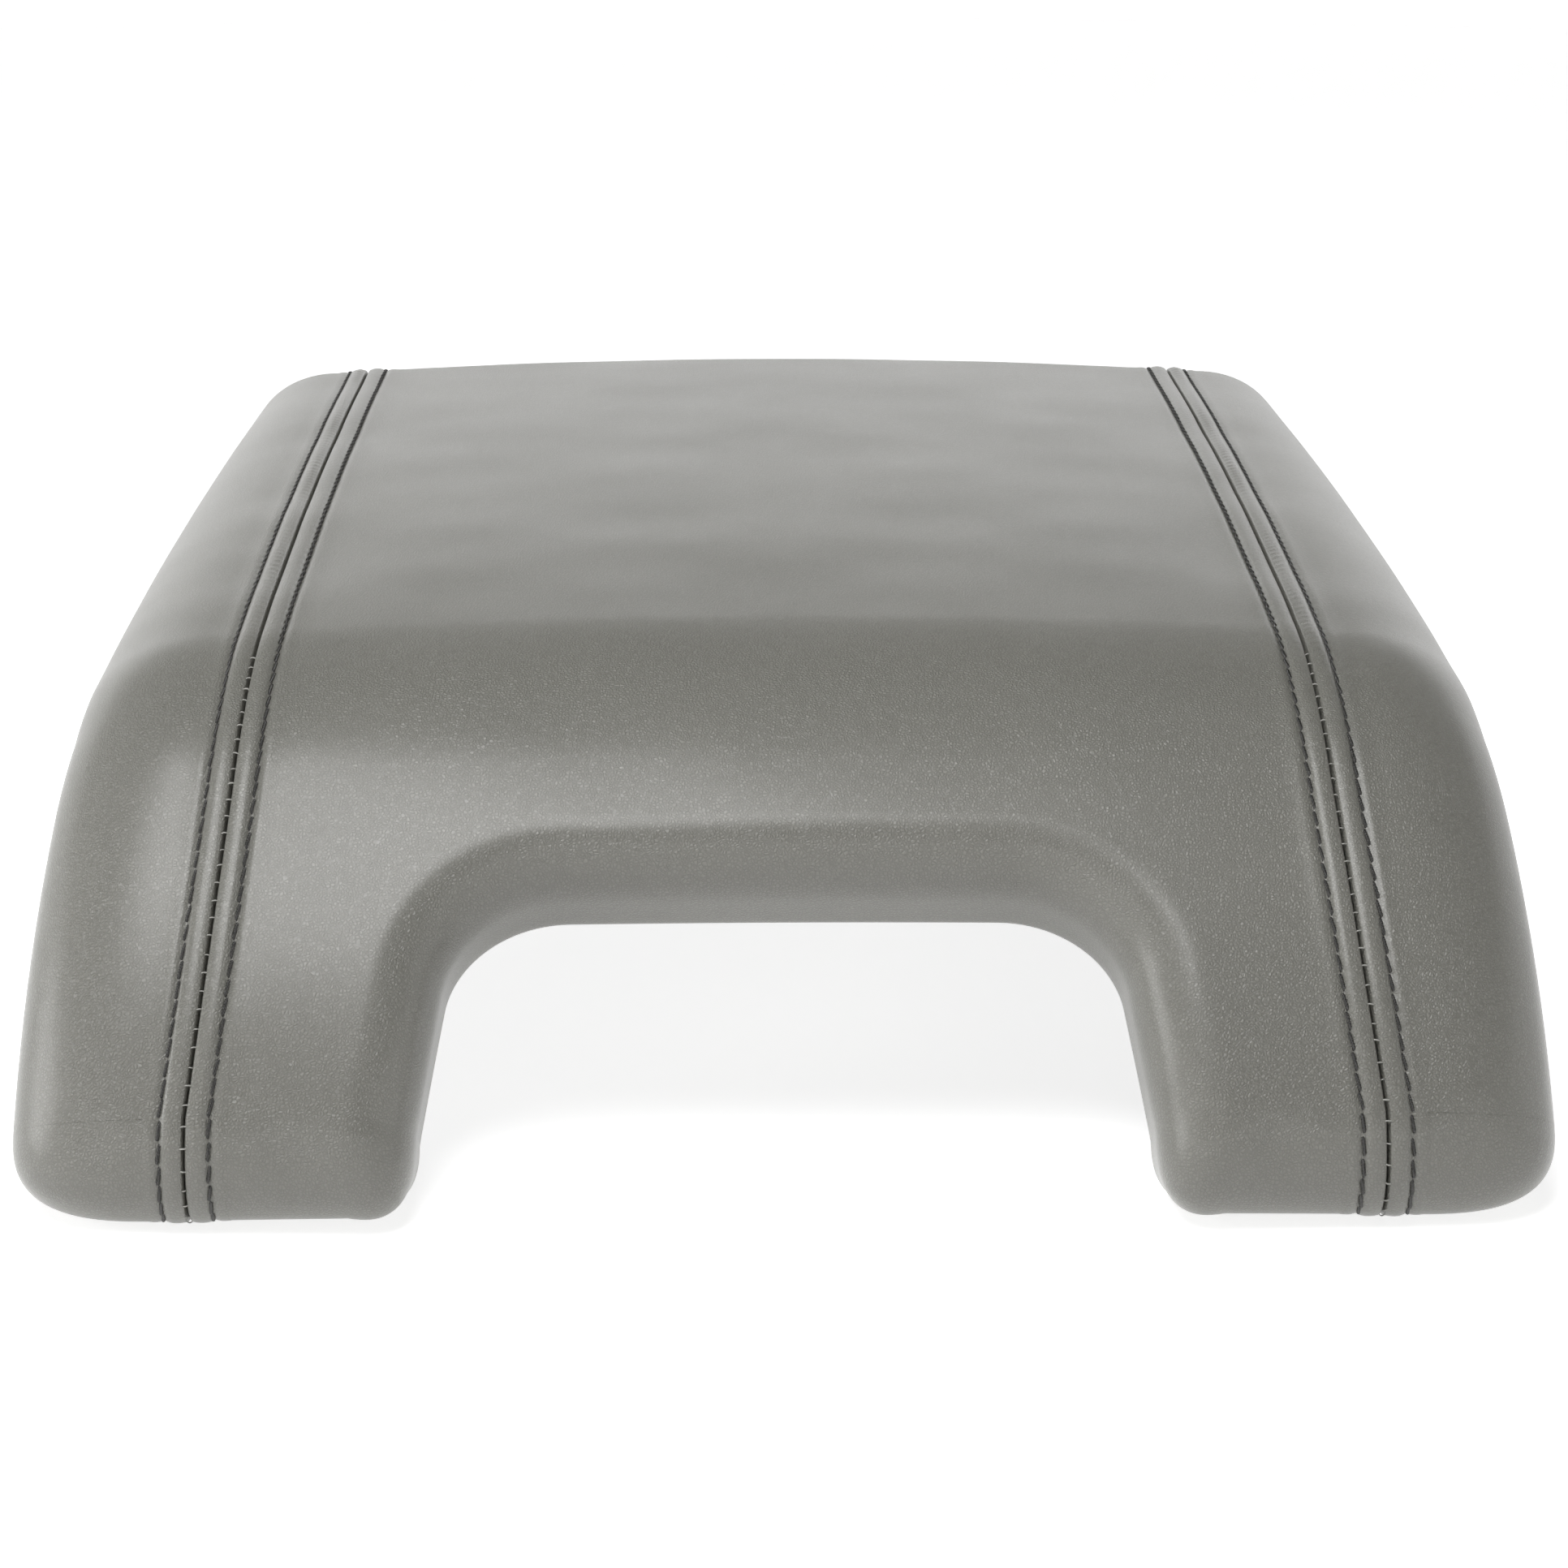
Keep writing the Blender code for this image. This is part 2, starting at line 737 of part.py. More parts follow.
def parent_to(items, empty):
    """Parents objects to an empty and keeps them in place."""
    for item in items:
        item.parent = empty
        item.matrix_parent_inverse = empty.matrix_world.inverted()


def make_covers(leather):
    """The sewn cover: a centre panel between the seams and a panel over each shoulder."""
    rings = [(step, 0.0) for step in range(RING_STEPS + 1)]
    layer = Layer(lambda across, run: 0.0, rings, Station.leather_hem, True)
    centre = Sheet()
    lay_centre(centre, layer)
    made = [centre.finish("cover_center_panel", leather, LEATHER)]
    for name, flip in (("cover_right_panel", False), ("cover_left_panel", True)):
        sheet = Sheet()
        lay_side(sheet, layer)
        made.append(sheet.finish(name, leather, LEATHER, mirror=False, flip_across=flip))
    return made


def make_foam(foam):
    """The pad between the leather and the carrier, which ends on the rolled edges."""
    rings = [
        (step, FOAM_DEPTH + GROOVE_DEPTH * (1 - step / RING_STEPS))
        for step in range(RING_STEPS // 2 + 1)
    ]
    layer = Layer(lambda across, run: FOAM_DEPTH + GROOVE_DEPTH, rings, None, False)
    sheet = Sheet()
    lay_centre(sheet, layer)
    lay_side(sheet, layer)
    return sheet.finish("foam_pad", foam, FOAM - GROOVE_DEPTH)


def from_edge(places):
    """Distances across of places given by their distance in from the side edge, left and right."""
    return [(side * (half_width(run) - inset), run) for inset, run in places for side in (-1, 1)]


def screw_places():
    """Where screws go up into the carrier: (across, run) of the panel's, hinge's and striker's."""
    panel = from_edge(PANEL_SCREWS)
    hinge = []
    for side in (-1, 1):
        for shift in (-LEAF_SCREW_SPREAD / 2, LEAF_SCREW_SPREAD / 2):
            hinge.append((side * HINGE_SPACING / 2 + shift, HINGE_SETBACK + LEAF_SCREW_SETBACK))
    striker = [(side * STRIKER_SCREW_SPREAD / 2, STRIKER_PLACE) for side in (-1, 1)]
    return panel, hinge, striker


def rib(mesh, points_at, count, across_vector):
    """Adds a rib that follows the carrier, from pairs of points at its root and its free edge."""
    rings = []
    for i in range(count + 1):
        root, free = points_at(i / count)
        half = across_vector * RIB_THICKNESS / 2
        corners = (root - half, root + half, free + half, free - half)
        rings.append([mesh.verts.new(corner) for corner in corners])
    for low, high in zip(rings[:-1], rings[1:]):
        for k in range(4):
            mesh.faces.new((low[k], low[(k + 1) % 4], high[(k + 1) % 4], high[k]))
    mesh.faces.new(reversed(rings[0]))
    mesh.faces.new(rings[-1])


def make_carrier(plastic):
    """The moulded shell: walls, turned-in rim flange, ribs and screw bosses."""
    rings = [(0, CARRIER_DEPTH), (RING_STEPS // 2, CARRIER_DEPTH), (RING_STEPS, CARRIER_SIDE_DEPTH)]
    layer = Layer(lambda across, run: CARRIER_DEPTH, rings, Station.carrier_rim, False)
    sheet = Sheet()
    lay_centre(sheet, layer)
    lay_side(sheet, layer)
    carrier = sheet.finish("lid_carrier", plastic, CARRIER_WALL, even=False)
    root_depth = CARRIER_DEPTH + CARRIER_WALL / 2
    free_depth = CARRIER_DEPTH + CARRIER_WALL + RIB_HEIGHT
    ribs = bmesh.new()
    for across in LONG_RIB_PLACES:
        def along(share, across=across):
            run = LONG_RIB_START + share * (LONG_RIB_END - LONG_RIB_START)
            base = crown(across)
            return (surface_point(across, run, base + root_depth),
                    surface_point(across, run, base + free_depth))
        rib(ribs, along, 3, Vector((1, 0, 0)))
    for run in CROSS_RIB_PLACES:
        def across_lid(share, run=run):
            across = (2 * share - 1) * CROSS_RIB_HALF
            base = crown(across)
            return (surface_point(across, run, base + root_depth),
                    surface_point(across, run, base + free_depth))
        rib(ribs, across_lid, 4, Vector((0, 1, 0)))
    for group in screw_places():
        for across, run in group:
            frame = surface_frame(across, run, 0.0)
            cylinder(ribs, frame, BOSS_RADIUS, -RIM_DEPTH, -root_depth, 8)
    bmesh.ops.recalc_face_normals(ribs, faces=ribs.faces)
    stiffening = add_cutter(add_object("carrier_ribs", ribs, plastic))
    combine(carrier, stiffening, "UNION")
    holes = bmesh.new()
    for group in screw_places():
        for across, run in group:
            frame = surface_frame(across, run, 0.0)
            cylinder(holes, frame, PILOT_RADIUS, -RIM_DEPTH - CUT_MARGIN, PILOT_REACH - RIM_DEPTH, 8)
    combine(carrier, add_cutter(add_object("carrier_pilots", holes, plastic)), "DIFFERENCE")
    return carrier


def tray_share(across, run):
    """1 inside the panel's shallow tray and 0 outside it."""
    inside = abs(across) < TRAY_HALF_WIDTH and TRAY_START < run < TRAY_END
    return 1.0 if inside else 0.0


def make_inner_panel(plastic):
    """The liner that closes the underside, with a shallow tray pressed up into it."""
    layer = Layer(
        lambda across, run: PANEL_DEPTH - TRAY_RECESS * tray_share(across, run),
        [],
        None,
        False,
    )
    sheet = Sheet()
    rows = row_runs()
    edge = notch_edge()
    junction = junction_index()
    middle_rows = rows[:len(rows) - (len(edge) - 1 - junction)]
    flat_grid(sheet, layer, lambda j: middle_columns(j, rows, edge), middle_rows)
    flat_grid(sheet, layer, lambda j: leg_columns(j, rows, edge, False), rows)
    flat_grid(
        sheet,
        layer,
        lambda j: [(across, rows[j], sink) for across, sink in shoulder_columns(rows[j], False)],
        rows,
    )
    for stations in panel_edges(rows, edge):
        inner = [surface_point(s.across, s.run, PANEL_DEPTH + crown(s.across)) for s in stations]
        sheet.grid([inner, [s.panel_edge() for s in stations]])
    panel = sheet.finish("inner_panel", plastic, PANEL_THICKNESS)
    holes = bmesh.new()
    for group in screw_places():
        for across, run in group:
            frame = surface_frame(across, run, 0.0)
            cylinder(holes, frame, HOLE_RADIUS, -PANEL_UNDERSIDE - CUT_MARGIN, -PANEL_DEPTH + CUT_MARGIN, 8)
    for across, run in from_edge(STOPS):
        frame = surface_frame(across, run, 0.0)
        radius = STOP_STEM_RADIUS + CLEARANCE
        cylinder(holes, frame, radius, -PANEL_UNDERSIDE - CUT_MARGIN, -PANEL_DEPTH + CUT_MARGIN, 10)
    combine(panel, add_cutter(add_object("panel_holes", holes, plastic)), "DIFFERENCE")
    return panel


def panel_edges(rows, edge):
    """Stations round the half outline, in runs that meet at the corners."""
    junction = junction_index()
    rear = [point[0] for point in edge[:junction]]
    rear += [across for across, run, sink in leg_columns(0, rows, edge, False)]
    rear += [seam_place(rows[0]) + SHOULDER_START]
    tip = [across for across, run, sink in leg_columns(len(rows) - 1, rows, edge, False)]
    tip += [seam_place(rows[-1]) + SHOULDER_START]
    sides = [side_station(run) for run in rows]
    notch = [notch_station(point) for point in edge]
    rear_line = [rear_station(across) for across in rear]
    tip_line = [tip_station(across) for across in tip]
    lines = [rear_line, tip_line, sides, notch]
    for first, second in (
        (sides[0], rear_line[-1]),
        (sides[-1], tip_line[-1]),
        (notch[-1], tip_line[0]),
    ):
        steps = [0, RING_STEPS // 2, RING_STEPS]
        lines.append(corner_block((first.across, first.run), first, second, steps)[1])
    return lines


def make_screw(name, frame, underside, steel):
    """Pan head screw driven up into a boss, its head seated under a surface at a depth."""
    seat = -underside - SEAT_GAP
    bite = -RIM_DEPTH + SCREW_BITE
    outline = [
        (0.0, bite),
        (SCREW_SHANK, bite - SCREW_SHANK),
        (SCREW_SHANK, seat),
        (SCREW_HEAD_RADIUS, seat),
        (SCREW_HEAD_RADIUS, seat - SCREW_HEAD_HEIGHT * 0.45),
        (SCREW_HEAD_RADIUS * 0.62, seat - SCREW_HEAD_HEIGHT),
        (0.0, seat - SCREW_HEAD_HEIGHT),
    ]
    return turned(name, outline, frame, steel, 8)


def make_screws(steel):
    """All screws on the underside."""
    panel, hinge, striker = screw_places()
    made = []
    for number, (across, run) in enumerate(panel, 1):
        frame = surface_frame(across, run, 0.0)
        made.append(make_screw(f"panel_screw_{number}", frame, PANEL_UNDERSIDE, steel))
    for number, (across, run) in enumerate(hinge, 1):
        frame = surface_frame(across, run, 0.0)
        made.append(make_screw(f"hinge_screw_{number}", frame, leaf_underside(across), steel))
    for number, (across, run) in enumerate(striker, 1):
        frame = surface_frame(across, run, 0.0)
        underside = striker_seat() + STEEL - crown(across)
        made.append(make_screw(f"striker_screw_{number}", frame, underside, steel))
    return made


def leaf_underside(across):
    """Depth of the hinge leaf's lower face under the lid's surface at a screw."""
    point = surface_point(across, HINGE_SETBACK + LEAF_SCREW_SETBACK, crown(across))
    return point.z - LEAF_TOP + STEEL


def make_hinge_arm(name, side, steel):
    """Lid half of a hinge: a leaf with two ears turned down round the pin."""
    centre = side * HINGE_SPACING / 2
    leaf = bmesh.new()
    low = (centre - LEAF_WIDTH / 2, HINGE_PLACE - LEAF_LENGTH, LEAF_TOP - STEEL)
    high = (centre + LEAF_WIDTH / 2, HINGE_PLACE + LEAF_TAIL, LEAF_TOP)
    box(leaf, low, high)
    arm = add_object(name, leaf, steel)
    soft = arm.modifiers.new("Corners", "BEVEL")
    soft.width = LEAF_CORNER
    soft.segments = 3
    soft.limit_method = "WEIGHT"
    weights = arm.data.attributes.new("bevel_weight_edge", "FLOAT", "EDGE")
    for edge in arm.data.edges:
        ends = [arm.data.vertices[i].co for i in edge.vertices]
        weights.data[edge.index].value = 1.0 if abs(ends[0].z - ends[1].z) > STEEL / 2 else 0.0
    for end in (-1, 1):
        across = centre + end * (ARM_INSIDE / 2 + STEEL / 2)
        ear = make_ear(f"{name}_ear_{end}", across, LEAF_TOP - STEEL / 2, ARM_EAR_HALF_BASE, steel)
        combine(arm, add_cutter(ear), "UNION")
    holes = bmesh.new()
    for shift in (-LEAF_SCREW_SPREAD / 2, LEAF_SCREW_SPREAD / 2):
        across = centre + shift
        frame = surface_frame(across, HINGE_SETBACK + LEAF_SCREW_SETBACK, 0.0)
        middle = leaf_underside(across) - STEEL / 2
        cylinder(holes, frame, HOLE_RADIUS, -middle - 2 * STEEL, -middle + 2 * STEEL, 8)
    combine(arm, add_cutter(add_object(name + "_holes", holes, steel)), "DIFFERENCE")
    return arm


def make_ear(name, across, to_height, half_base, steel):
    """Ear round the pin, from the axis up or down to a height, in the plane across the lid."""
    rise = to_height - HINGE_HEIGHT
    sign = 1 if rise > 0 else -1
    outline = [(half_base, rise), (-half_base, rise)]
    for i in range(EAR_STEPS + 1):
        angle = math.pi + sign * math.pi * i / EAR_STEPS
        outline.append((EAR_RADIUS * math.cos(angle), EAR_RADIUS * math.sin(angle)))
    hole = circle((0.0, 0.0), PIN_RADIUS + PIN_CLEARANCE, 12)
    upright = Matrix(((0, 0, 1), (1, 0, 0), (0, 1, 0))).to_4x4()
    place = Matrix.Translation((across, HINGE_PLACE, HINGE_HEIGHT)) @ upright
    return plate(name, [outline, hole], STEEL, place, steel)


def make_bracket(steel):
    """Console half of the hinge: a foot, a web and two pairs of ears, folded from one sheet."""
    mesh = bmesh.new()
    web_top = HINGE_HEIGHT - WEB_TOP_GAP
    front = -FOOT_LENGTH / 2
    back = FOOT_LENGTH / 2
    half = BRACKET_WIDTH / 2
    profile_points = [(front, 0.0), (back - BRACKET_BEND, 0.0)]
    for i in range(1, 4):
        angle = -math.pi / 2 + i * math.pi / 6
        profile_points.append((
            back - BRACKET_BEND + BRACKET_BEND * math.cos(angle),
            BRACKET_BEND + BRACKET_BEND * math.sin(angle),
        ))
    profile_points += [(back, web_top), (back - STEEL, web_top)]
    inner = BRACKET_BEND - STEEL
    for i in range(3, -1, -1):
        angle = -math.pi / 2 + i * math.pi / 6
        profile_points.append((
            back - BRACKET_BEND + inner * math.cos(angle),
            BRACKET_BEND + inner * math.sin(angle),
        ))
    profile_points.append((front, STEEL))
    left = [mesh.verts.new((-half, y, z)) for y, z in profile_points]
    right = [mesh.verts.new((half, y, z)) for y, z in profile_points]
    count = len(profile_points)
    mesh.faces.new(left)
    mesh.faces.new(reversed(right))
    for i in range(count):
        j = (i + 1) % count
        mesh.faces.new((left[i], left[j], right[j], right[i]))
    bmesh.ops.recalc_face_normals(mesh, faces=mesh.faces)
    bracket = add_object("hinge_bracket", mesh, steel)
    for side in (-1, 1):
        for end in (-1, 1):
            offset = ARM_INSIDE / 2 + STEEL + EAR_GAP + STEEL / 2
            across = side * HINGE_SPACING / 2 + end * offset
            name = f"bracket_ear_{side}_{end}"
            ear = make_ear(name, across, web_top - BRACKET_EAR_ROOT, STEEL / 2, steel)
            combine(bracket, add_cutter(ear), "UNION")
    holes = bmesh.new()
    for side in (-1, 1):
        place = Matrix.Translation((side * BOLT_SPREAD / 2, -BRACKET_BEND / 2, 0.0))
        cylinder(holes, place, BOLT_HOLE_RADIUS, -STEEL, 2 * STEEL, 12)
    combine(bracket, add_cutter(add_object("bracket_bolt_holes", holes, steel)), "DIFFERENCE")
    return bracket


def make_pin(name, side, steel):
    """Hinge pin with a head at its outer end and a peened inner end."""
    reach = ARM_INSIDE / 2 + 2 * STEEL + EAR_GAP + CLEARANCE
    outline = [
        (0.0, reach + PIN_HEAD_LENGTH),
        (PIN_HEAD_RADIUS * 0.7, reach + PIN_HEAD_LENGTH),
        (PIN_HEAD_RADIUS, reach + PIN_HEAD_LENGTH * 0.5),
        (PIN_HEAD_RADIUS, reach),
        (PIN_RADIUS, reach),
        (PIN_RADIUS, -reach),
        (PIN_HEAD_RADIUS * 0.85, -reach),
        (PIN_HEAD_RADIUS * 0.85, -reach - PIN_HEAD_LENGTH * 0.5),
        (0.0, -reach - PIN_HEAD_LENGTH * 0.7),
    ]
    turn = Matrix.Rotation(side * math.pi / 2, 4, "Y")
    place = Matrix.Translation((side * HINGE_SPACING / 2, HINGE_PLACE, HINGE_HEIGHT)) @ turn
    return turned(name, outline, place, steel, 12)


def make_spring(name, side, steel):
    """Torsion spring on the pin: one leg pushes on the web, the other on the leaf."""
    length = ARM_INSIDE - SPRING_END_GAP
    count = SPRING_STEPS * SPRING_TURNS
    centre = side * HINGE_SPACING / 2
    lean = math.atan((SPRING_RADIUS - STEEL / 2 - SPRING_WIRE - CLEARANCE) / SPRING_LEG)
    down = Vector((0.0, math.sin(lean), -math.cos(lean)))
    points = []
    for i in range(count + 1):
        angle = 2 * math.pi * i / SPRING_STEPS
        across = centre + (i / count - 0.5) * length
        points.append(Vector((
            across,
            HINGE_PLACE - SPRING_RADIUS * math.cos(angle),
            HINGE_HEIGHT + SPRING_RADIUS * math.sin(angle),
        )))
    first = points[0] + down * SPRING_LEG
    up_angle = math.asin((HINGE_DROP - SPRING_WIRE - CLEARANCE) / SPRING_LEG)
    last = points[-1] + Vector((0.0, -math.cos(up_angle), math.sin(up_angle))) * SPRING_LEG
    return wire(name, [first] + points + [last], SPRING_WIRE, 1, steel)


def striker_seat():
    """Depth of the striker plate's upper face, flat under the crowned panel."""
    return PANEL_UNDERSIDE + SEAT_GAP + crown(STRIKER_PLATE_LENGTH / 2)


def make_striker(steel):
    """Wire loop on a screwed plate."""
    frame = surface_frame(0.0, STRIKER_PLACE, 0.0)
    middle = -striker_seat() - STEEL / 2
    length = STRIKER_PLATE_LENGTH
    holes = [
        circle((side * STRIKER_SCREW_SPREAD / 2, 0.0), HOLE_RADIUS, 8) for side in (-1, 1)
    ]
    outline = rounded_rectangle(length, STRIKER_PLATE_WIDTH, STRIKER_PLATE_CORNER, 3)
    seat = frame @ Matrix.Translation((0.0, 0.0, middle))
    loops = [
        circle((side * STRIKER_LOOP_WIDTH / 2, 0.0), STRIKER_WIRE + CLEARANCE, 10)
        for side in (-1, 1)
    ]
    striker_plate = plate("striker_plate", [outline] + holes + loops, STEEL, seat, steel)
    top = middle + STEEL / 2
    bend = STRIKER_LOOP_WIDTH / 2
    low = middle - STRIKER_LOOP_DROP + bend
    points = [(-bend, 0.0, top)]
    for i in range(9):
        angle = math.pi + i * math.pi / 8
        points.append((bend * math.cos(angle), 0.0, low + bend * math.sin(angle)))
    points.append((bend, 0.0, top))
    loop = wire("striker_loop", [frame @ Vector(p) for p in points], STRIKER_WIRE, 2, steel)
    return [striker_plate, loop]


def make_stops(rubber):
    """Rubber buttons pressed into the panel, which the lid closes on."""
    made = []
    seat = -PANEL_UNDERSIDE - SEAT_GAP
    names = ("front_left", "front_right", "rear_left", "rear_right")
    outline = [
        (0.0, seat + STOP_STEM_LENGTH),
        (STOP_STEM_RADIUS * 0.8, seat + STOP_STEM_LENGTH),
        (STOP_STEM_RADIUS, seat + STOP_STEM_LENGTH * 0.84),
        (STOP_STEM_RADIUS, seat),
        (STOP_RADIUS, seat),
        (STOP_RADIUS * 0.94, seat - STOP_HEIGHT * 0.6),
        (STOP_RADIUS * 0.7, seat - STOP_HEIGHT * 0.92),
        (0.0, seat - STOP_HEIGHT),
    ]
    for name, (across, run) in zip(names, from_edge(STOPS)):
        frame = surface_frame(across, run, 0.0)
        made.append(turned(f"stop_{name}", outline, frame, rubber, 10))
    return made


def clear_scene():
    """Removes whatever the open file holds."""
    for item in list(bpy.data.objects):
        bpy.data.objects.remove(item)


def make_collections():
    """One collection for the parts and one for cutters and guides."""
    for name in (COLLECTION, COLLECTION + "_cutters"):
        group = bpy.data.collections.new(name)
        bpy.context.scene.collection.children.link(group)


def main():
    clear_scene()
    make_collections()
    leather = make_material("grey_leather", (0.30, 0.29, 0.27), 0.55, 0.0)
    foam = make_material("foam", (0.62, 0.58, 0.42), 0.95, 0.0)
    dark_plastic = make_material("carrier_plastic", (0.05, 0.05, 0.05), 0.55, 0.0)
    grey_plastic = make_material("panel_plastic", (0.16, 0.155, 0.15), 0.6, 0.0)
    zinc_steel = make_material("zinc_steel", (0.60, 0.60, 0.58), 0.35, 1.0)
    screw_steel = make_material("screw_steel", (0.12, 0.12, 0.12), 0.4, 1.0)
    rubber = make_material("rubber", (0.03, 0.03, 0.03), 0.85, 0.0)

    lid = make_covers(leather)
    lid.append(make_foam(foam))
    lid.append(make_carrier(dark_plastic))
    lid.append(make_inner_panel(grey_plastic))
    lid += make_screws(screw_steel)
    lid += make_striker(zinc_steel)
    lid += make_stops(rubber)
    for side, hand in ((-1, "left"), (1, "right")):
        lid.append(make_hinge_arm(f"hinge_arm_{hand}", side, zinc_steel))
        make_pin(f"hinge_pin_{hand}", side, screw_steel)
        make_spring(f"hinge_spring_{hand}", side, zinc_steel)
    make_bracket(zinc_steel)

    axis = bpy.data.objects.new("lid_axis", None)
    axis.location = (0.0, HINGE_PLACE, HINGE_HEIGHT)
    bpy.data.collections[COLLECTION].objects.link(axis)
    bpy.context.view_layer.update()
    parent_to(lid, axis)


main()
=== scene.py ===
"""Looks of the padded console lid, dressed over its solids.

The leather follows the same surface as the solids, with finer steps, and carries the seams,
the stitches and the rolled edges that the photograph shows.
"""

import json
import math

import bmesh
import bpy
import numpy as np
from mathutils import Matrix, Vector


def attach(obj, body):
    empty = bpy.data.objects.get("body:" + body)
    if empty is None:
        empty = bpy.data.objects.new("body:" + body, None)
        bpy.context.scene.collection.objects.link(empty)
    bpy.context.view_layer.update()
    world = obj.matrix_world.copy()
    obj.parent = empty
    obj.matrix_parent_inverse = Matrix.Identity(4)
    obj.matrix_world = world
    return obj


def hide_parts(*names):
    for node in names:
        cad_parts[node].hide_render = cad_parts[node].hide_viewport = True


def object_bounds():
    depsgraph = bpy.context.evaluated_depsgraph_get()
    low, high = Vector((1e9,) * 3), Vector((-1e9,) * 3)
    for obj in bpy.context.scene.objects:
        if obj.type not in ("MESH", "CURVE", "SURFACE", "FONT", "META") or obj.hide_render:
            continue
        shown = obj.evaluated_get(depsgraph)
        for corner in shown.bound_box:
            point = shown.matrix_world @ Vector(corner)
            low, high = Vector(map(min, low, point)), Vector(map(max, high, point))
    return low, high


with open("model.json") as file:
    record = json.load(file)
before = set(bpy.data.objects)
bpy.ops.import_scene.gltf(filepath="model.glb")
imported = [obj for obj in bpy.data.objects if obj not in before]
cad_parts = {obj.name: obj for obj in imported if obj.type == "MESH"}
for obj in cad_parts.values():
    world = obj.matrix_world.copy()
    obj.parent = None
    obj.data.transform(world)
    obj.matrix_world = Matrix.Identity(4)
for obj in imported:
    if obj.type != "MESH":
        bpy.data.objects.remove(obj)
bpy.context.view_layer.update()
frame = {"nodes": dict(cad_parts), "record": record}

# Side profile of the lid: runs along the surface from the rear edge, and the slope at each end
RUNS = (0.186, 0.115, 0.057, 0.086)
SLOPES = tuple(math.radians(angle) for angle in (-0.9, 2.0, 4.9, 37.7, 57.2))
FOLD_START = RUNS[0] + RUNS[1]
TIP_REACH = 0.020
TIP_START = FOLD_START + RUNS[2] + RUNS[3]
TIP_OUTLINE = TIP_START + TIP_REACH

# Widths, rolls and notch, as in the solids
HALF_WIDTH_REAR = 0.159
HALF_WIDTH_FOLD = 0.1667
HALF_WIDTH_TIPS = 0.1725
FLARE_START = 0.331
CROWN_RADIUS = 2.05
SEAM_HALF_SPACING = 0.124
SEAM_FLARE = 0.010
SHOULDER_START = 0.009
SHOULDER_DROP = 0.020
REAR_ROLL = 0.016
TIP_DROP = 0.0145
NOTCH_ROLL = 0.015
CORNER_FULLNESS = 2.6
NOTCH_TOP = 0.388
NOTCH_TOP_HALF = 0.0493
NOTCH_FILLET = 0.028
NOTCH_FLARE = math.radians(8.2)
LID_TOP = 0.121205
LID_REAR = 0.0388

# Leather and its hem
LEATHER = 0.0014
HEM_DEPTH = 0.0277
HEM_RADIUS = 0.003
HEM_WIDTH = 0.005

# French seam: centre groove, raised bands and two rows of topstitches
STITCH_OFFSET = 0.0055
STITCH_PITCH = 0.0046
STITCH_LENGTH = 0.0047
THREAD = 0.00092
THREAD_TURNS = 2.6
GROOVE_HALF = 0.00014
LIP_DEPTH = 0.0034
TICK_PITCH = 0.0044
TICK_START = 0.318

# Relief of the leather beside the seam: band, groove, pinch at the stitches, bead outside them
BAND_HEIGHT = 0.0008
BAND_START = 0.0001
BAND_WIDTH = 0.0054
BAND_POWER = 0.7
GROOVE_DIP = 0.0017
GROOVE_WIDTH = 0.00030
PINCH_DEPTH = 0.00034
PINCH_AT_HOLE = 0.00020
PINCH_WIDTH = 0.00085
BEAD_HEIGHT = 0.00024
BEAD_OFFSET = 0.0077
BEAD_WIDTH = 0.0013

# Slanting puckers of the band
PUCKER_HEIGHT = 0.00013
PUCKER_OFFSET = 0.0021
PUCKER_WIDTH = 0.0013
PUCKER_PITCH = 0.0031
PUCKER_SLANT = 0.0046

# Shape of a topstitch, in thread widths, and of a small stitch in the groove, in metres
STRAND_RADIUS = 0.26
STRAND_WIND = 0.25
STITCH_RISE = 1.15
STITCH_SINK = 0.9
STITCH_FLATNESS = 6
TICK_HALF = 0.00062
TICK_LEAN = 0.00016
TICK_ARCH = 0.00032
TICK_RADIUS = 0.00017
TICK_LIFT = 0.00014

# How far the rows of thread run on over the rolled ends
ROW_PAST_REAR = 0.022
ROW_PAST_TIP = 0.031
TICKS_PAST_TIP = 0.030
ROW_SINK = 0.0003

# Unevenness of the sewing: drift along the row, mean and spread of the slant, spread of the size
STITCH_SPREAD = (0.00007, 7.0, 1.5, 0.035)
TICK_SPREAD = (0.00015, 12, 8, 0.12)

# Mesh steps
ROW_STEP = 0.0008
ROLL_STEPS = 16
TOP_COLUMNS = 12
ARC_COLUMNS = 12
ARC_ROWS = 32
LEG_COLUMNS = 14
WALL_STEPS = 3
HEM_STEPS = 5
STITCH_RINGS = 15
STRAND_SIDES = 5
TICK_RINGS = 7
TICK_SIDES = 6
FOAM_LEVELS = 2
WELD_DISTANCE = 0.000006
PROBE_STEP = 0.0005

# Place on the notch's edge from which the rows of the lid follow the notch
JUNCTION = TOP_COLUMNS + ARC_COLUMNS

# Columns beside the seam, in millimetres from its middle
SEAM_STEPS = (
    0.14, 0.25, 0.4, 0.6, 0.85, 1.15, 1.5, 1.9, 2.4, 3.0, 3.6, 4.2, 4.7, 5.1,
    5.5, 5.9, 6.3, 6.8, 7.4, 8.2, 9.0,
)

# Shallow hollows by the leg tips: distance across, run, radius and depth
DENTS = (
    (0.150, 0.4490, 0.0070, 0.0013),
    (0.108, 0.4520, 0.0065, 0.0012),
    (0.086, 0.4440, 0.0080, 0.0009),
    (0.160, 0.2900, 0.0120, 0.0007),
)

# Slow waves of the leather over the foam: how tight along and across, phase and height
WAVES = (
    (95.0, 31.0, 0.4, 0.00010),
    (52.0, 88.0, 2.1, 0.00012),
    (171.0, 64.0, 4.4, 0.00005),
    (37.0, 143.0, 5.2, 0.00006),
)

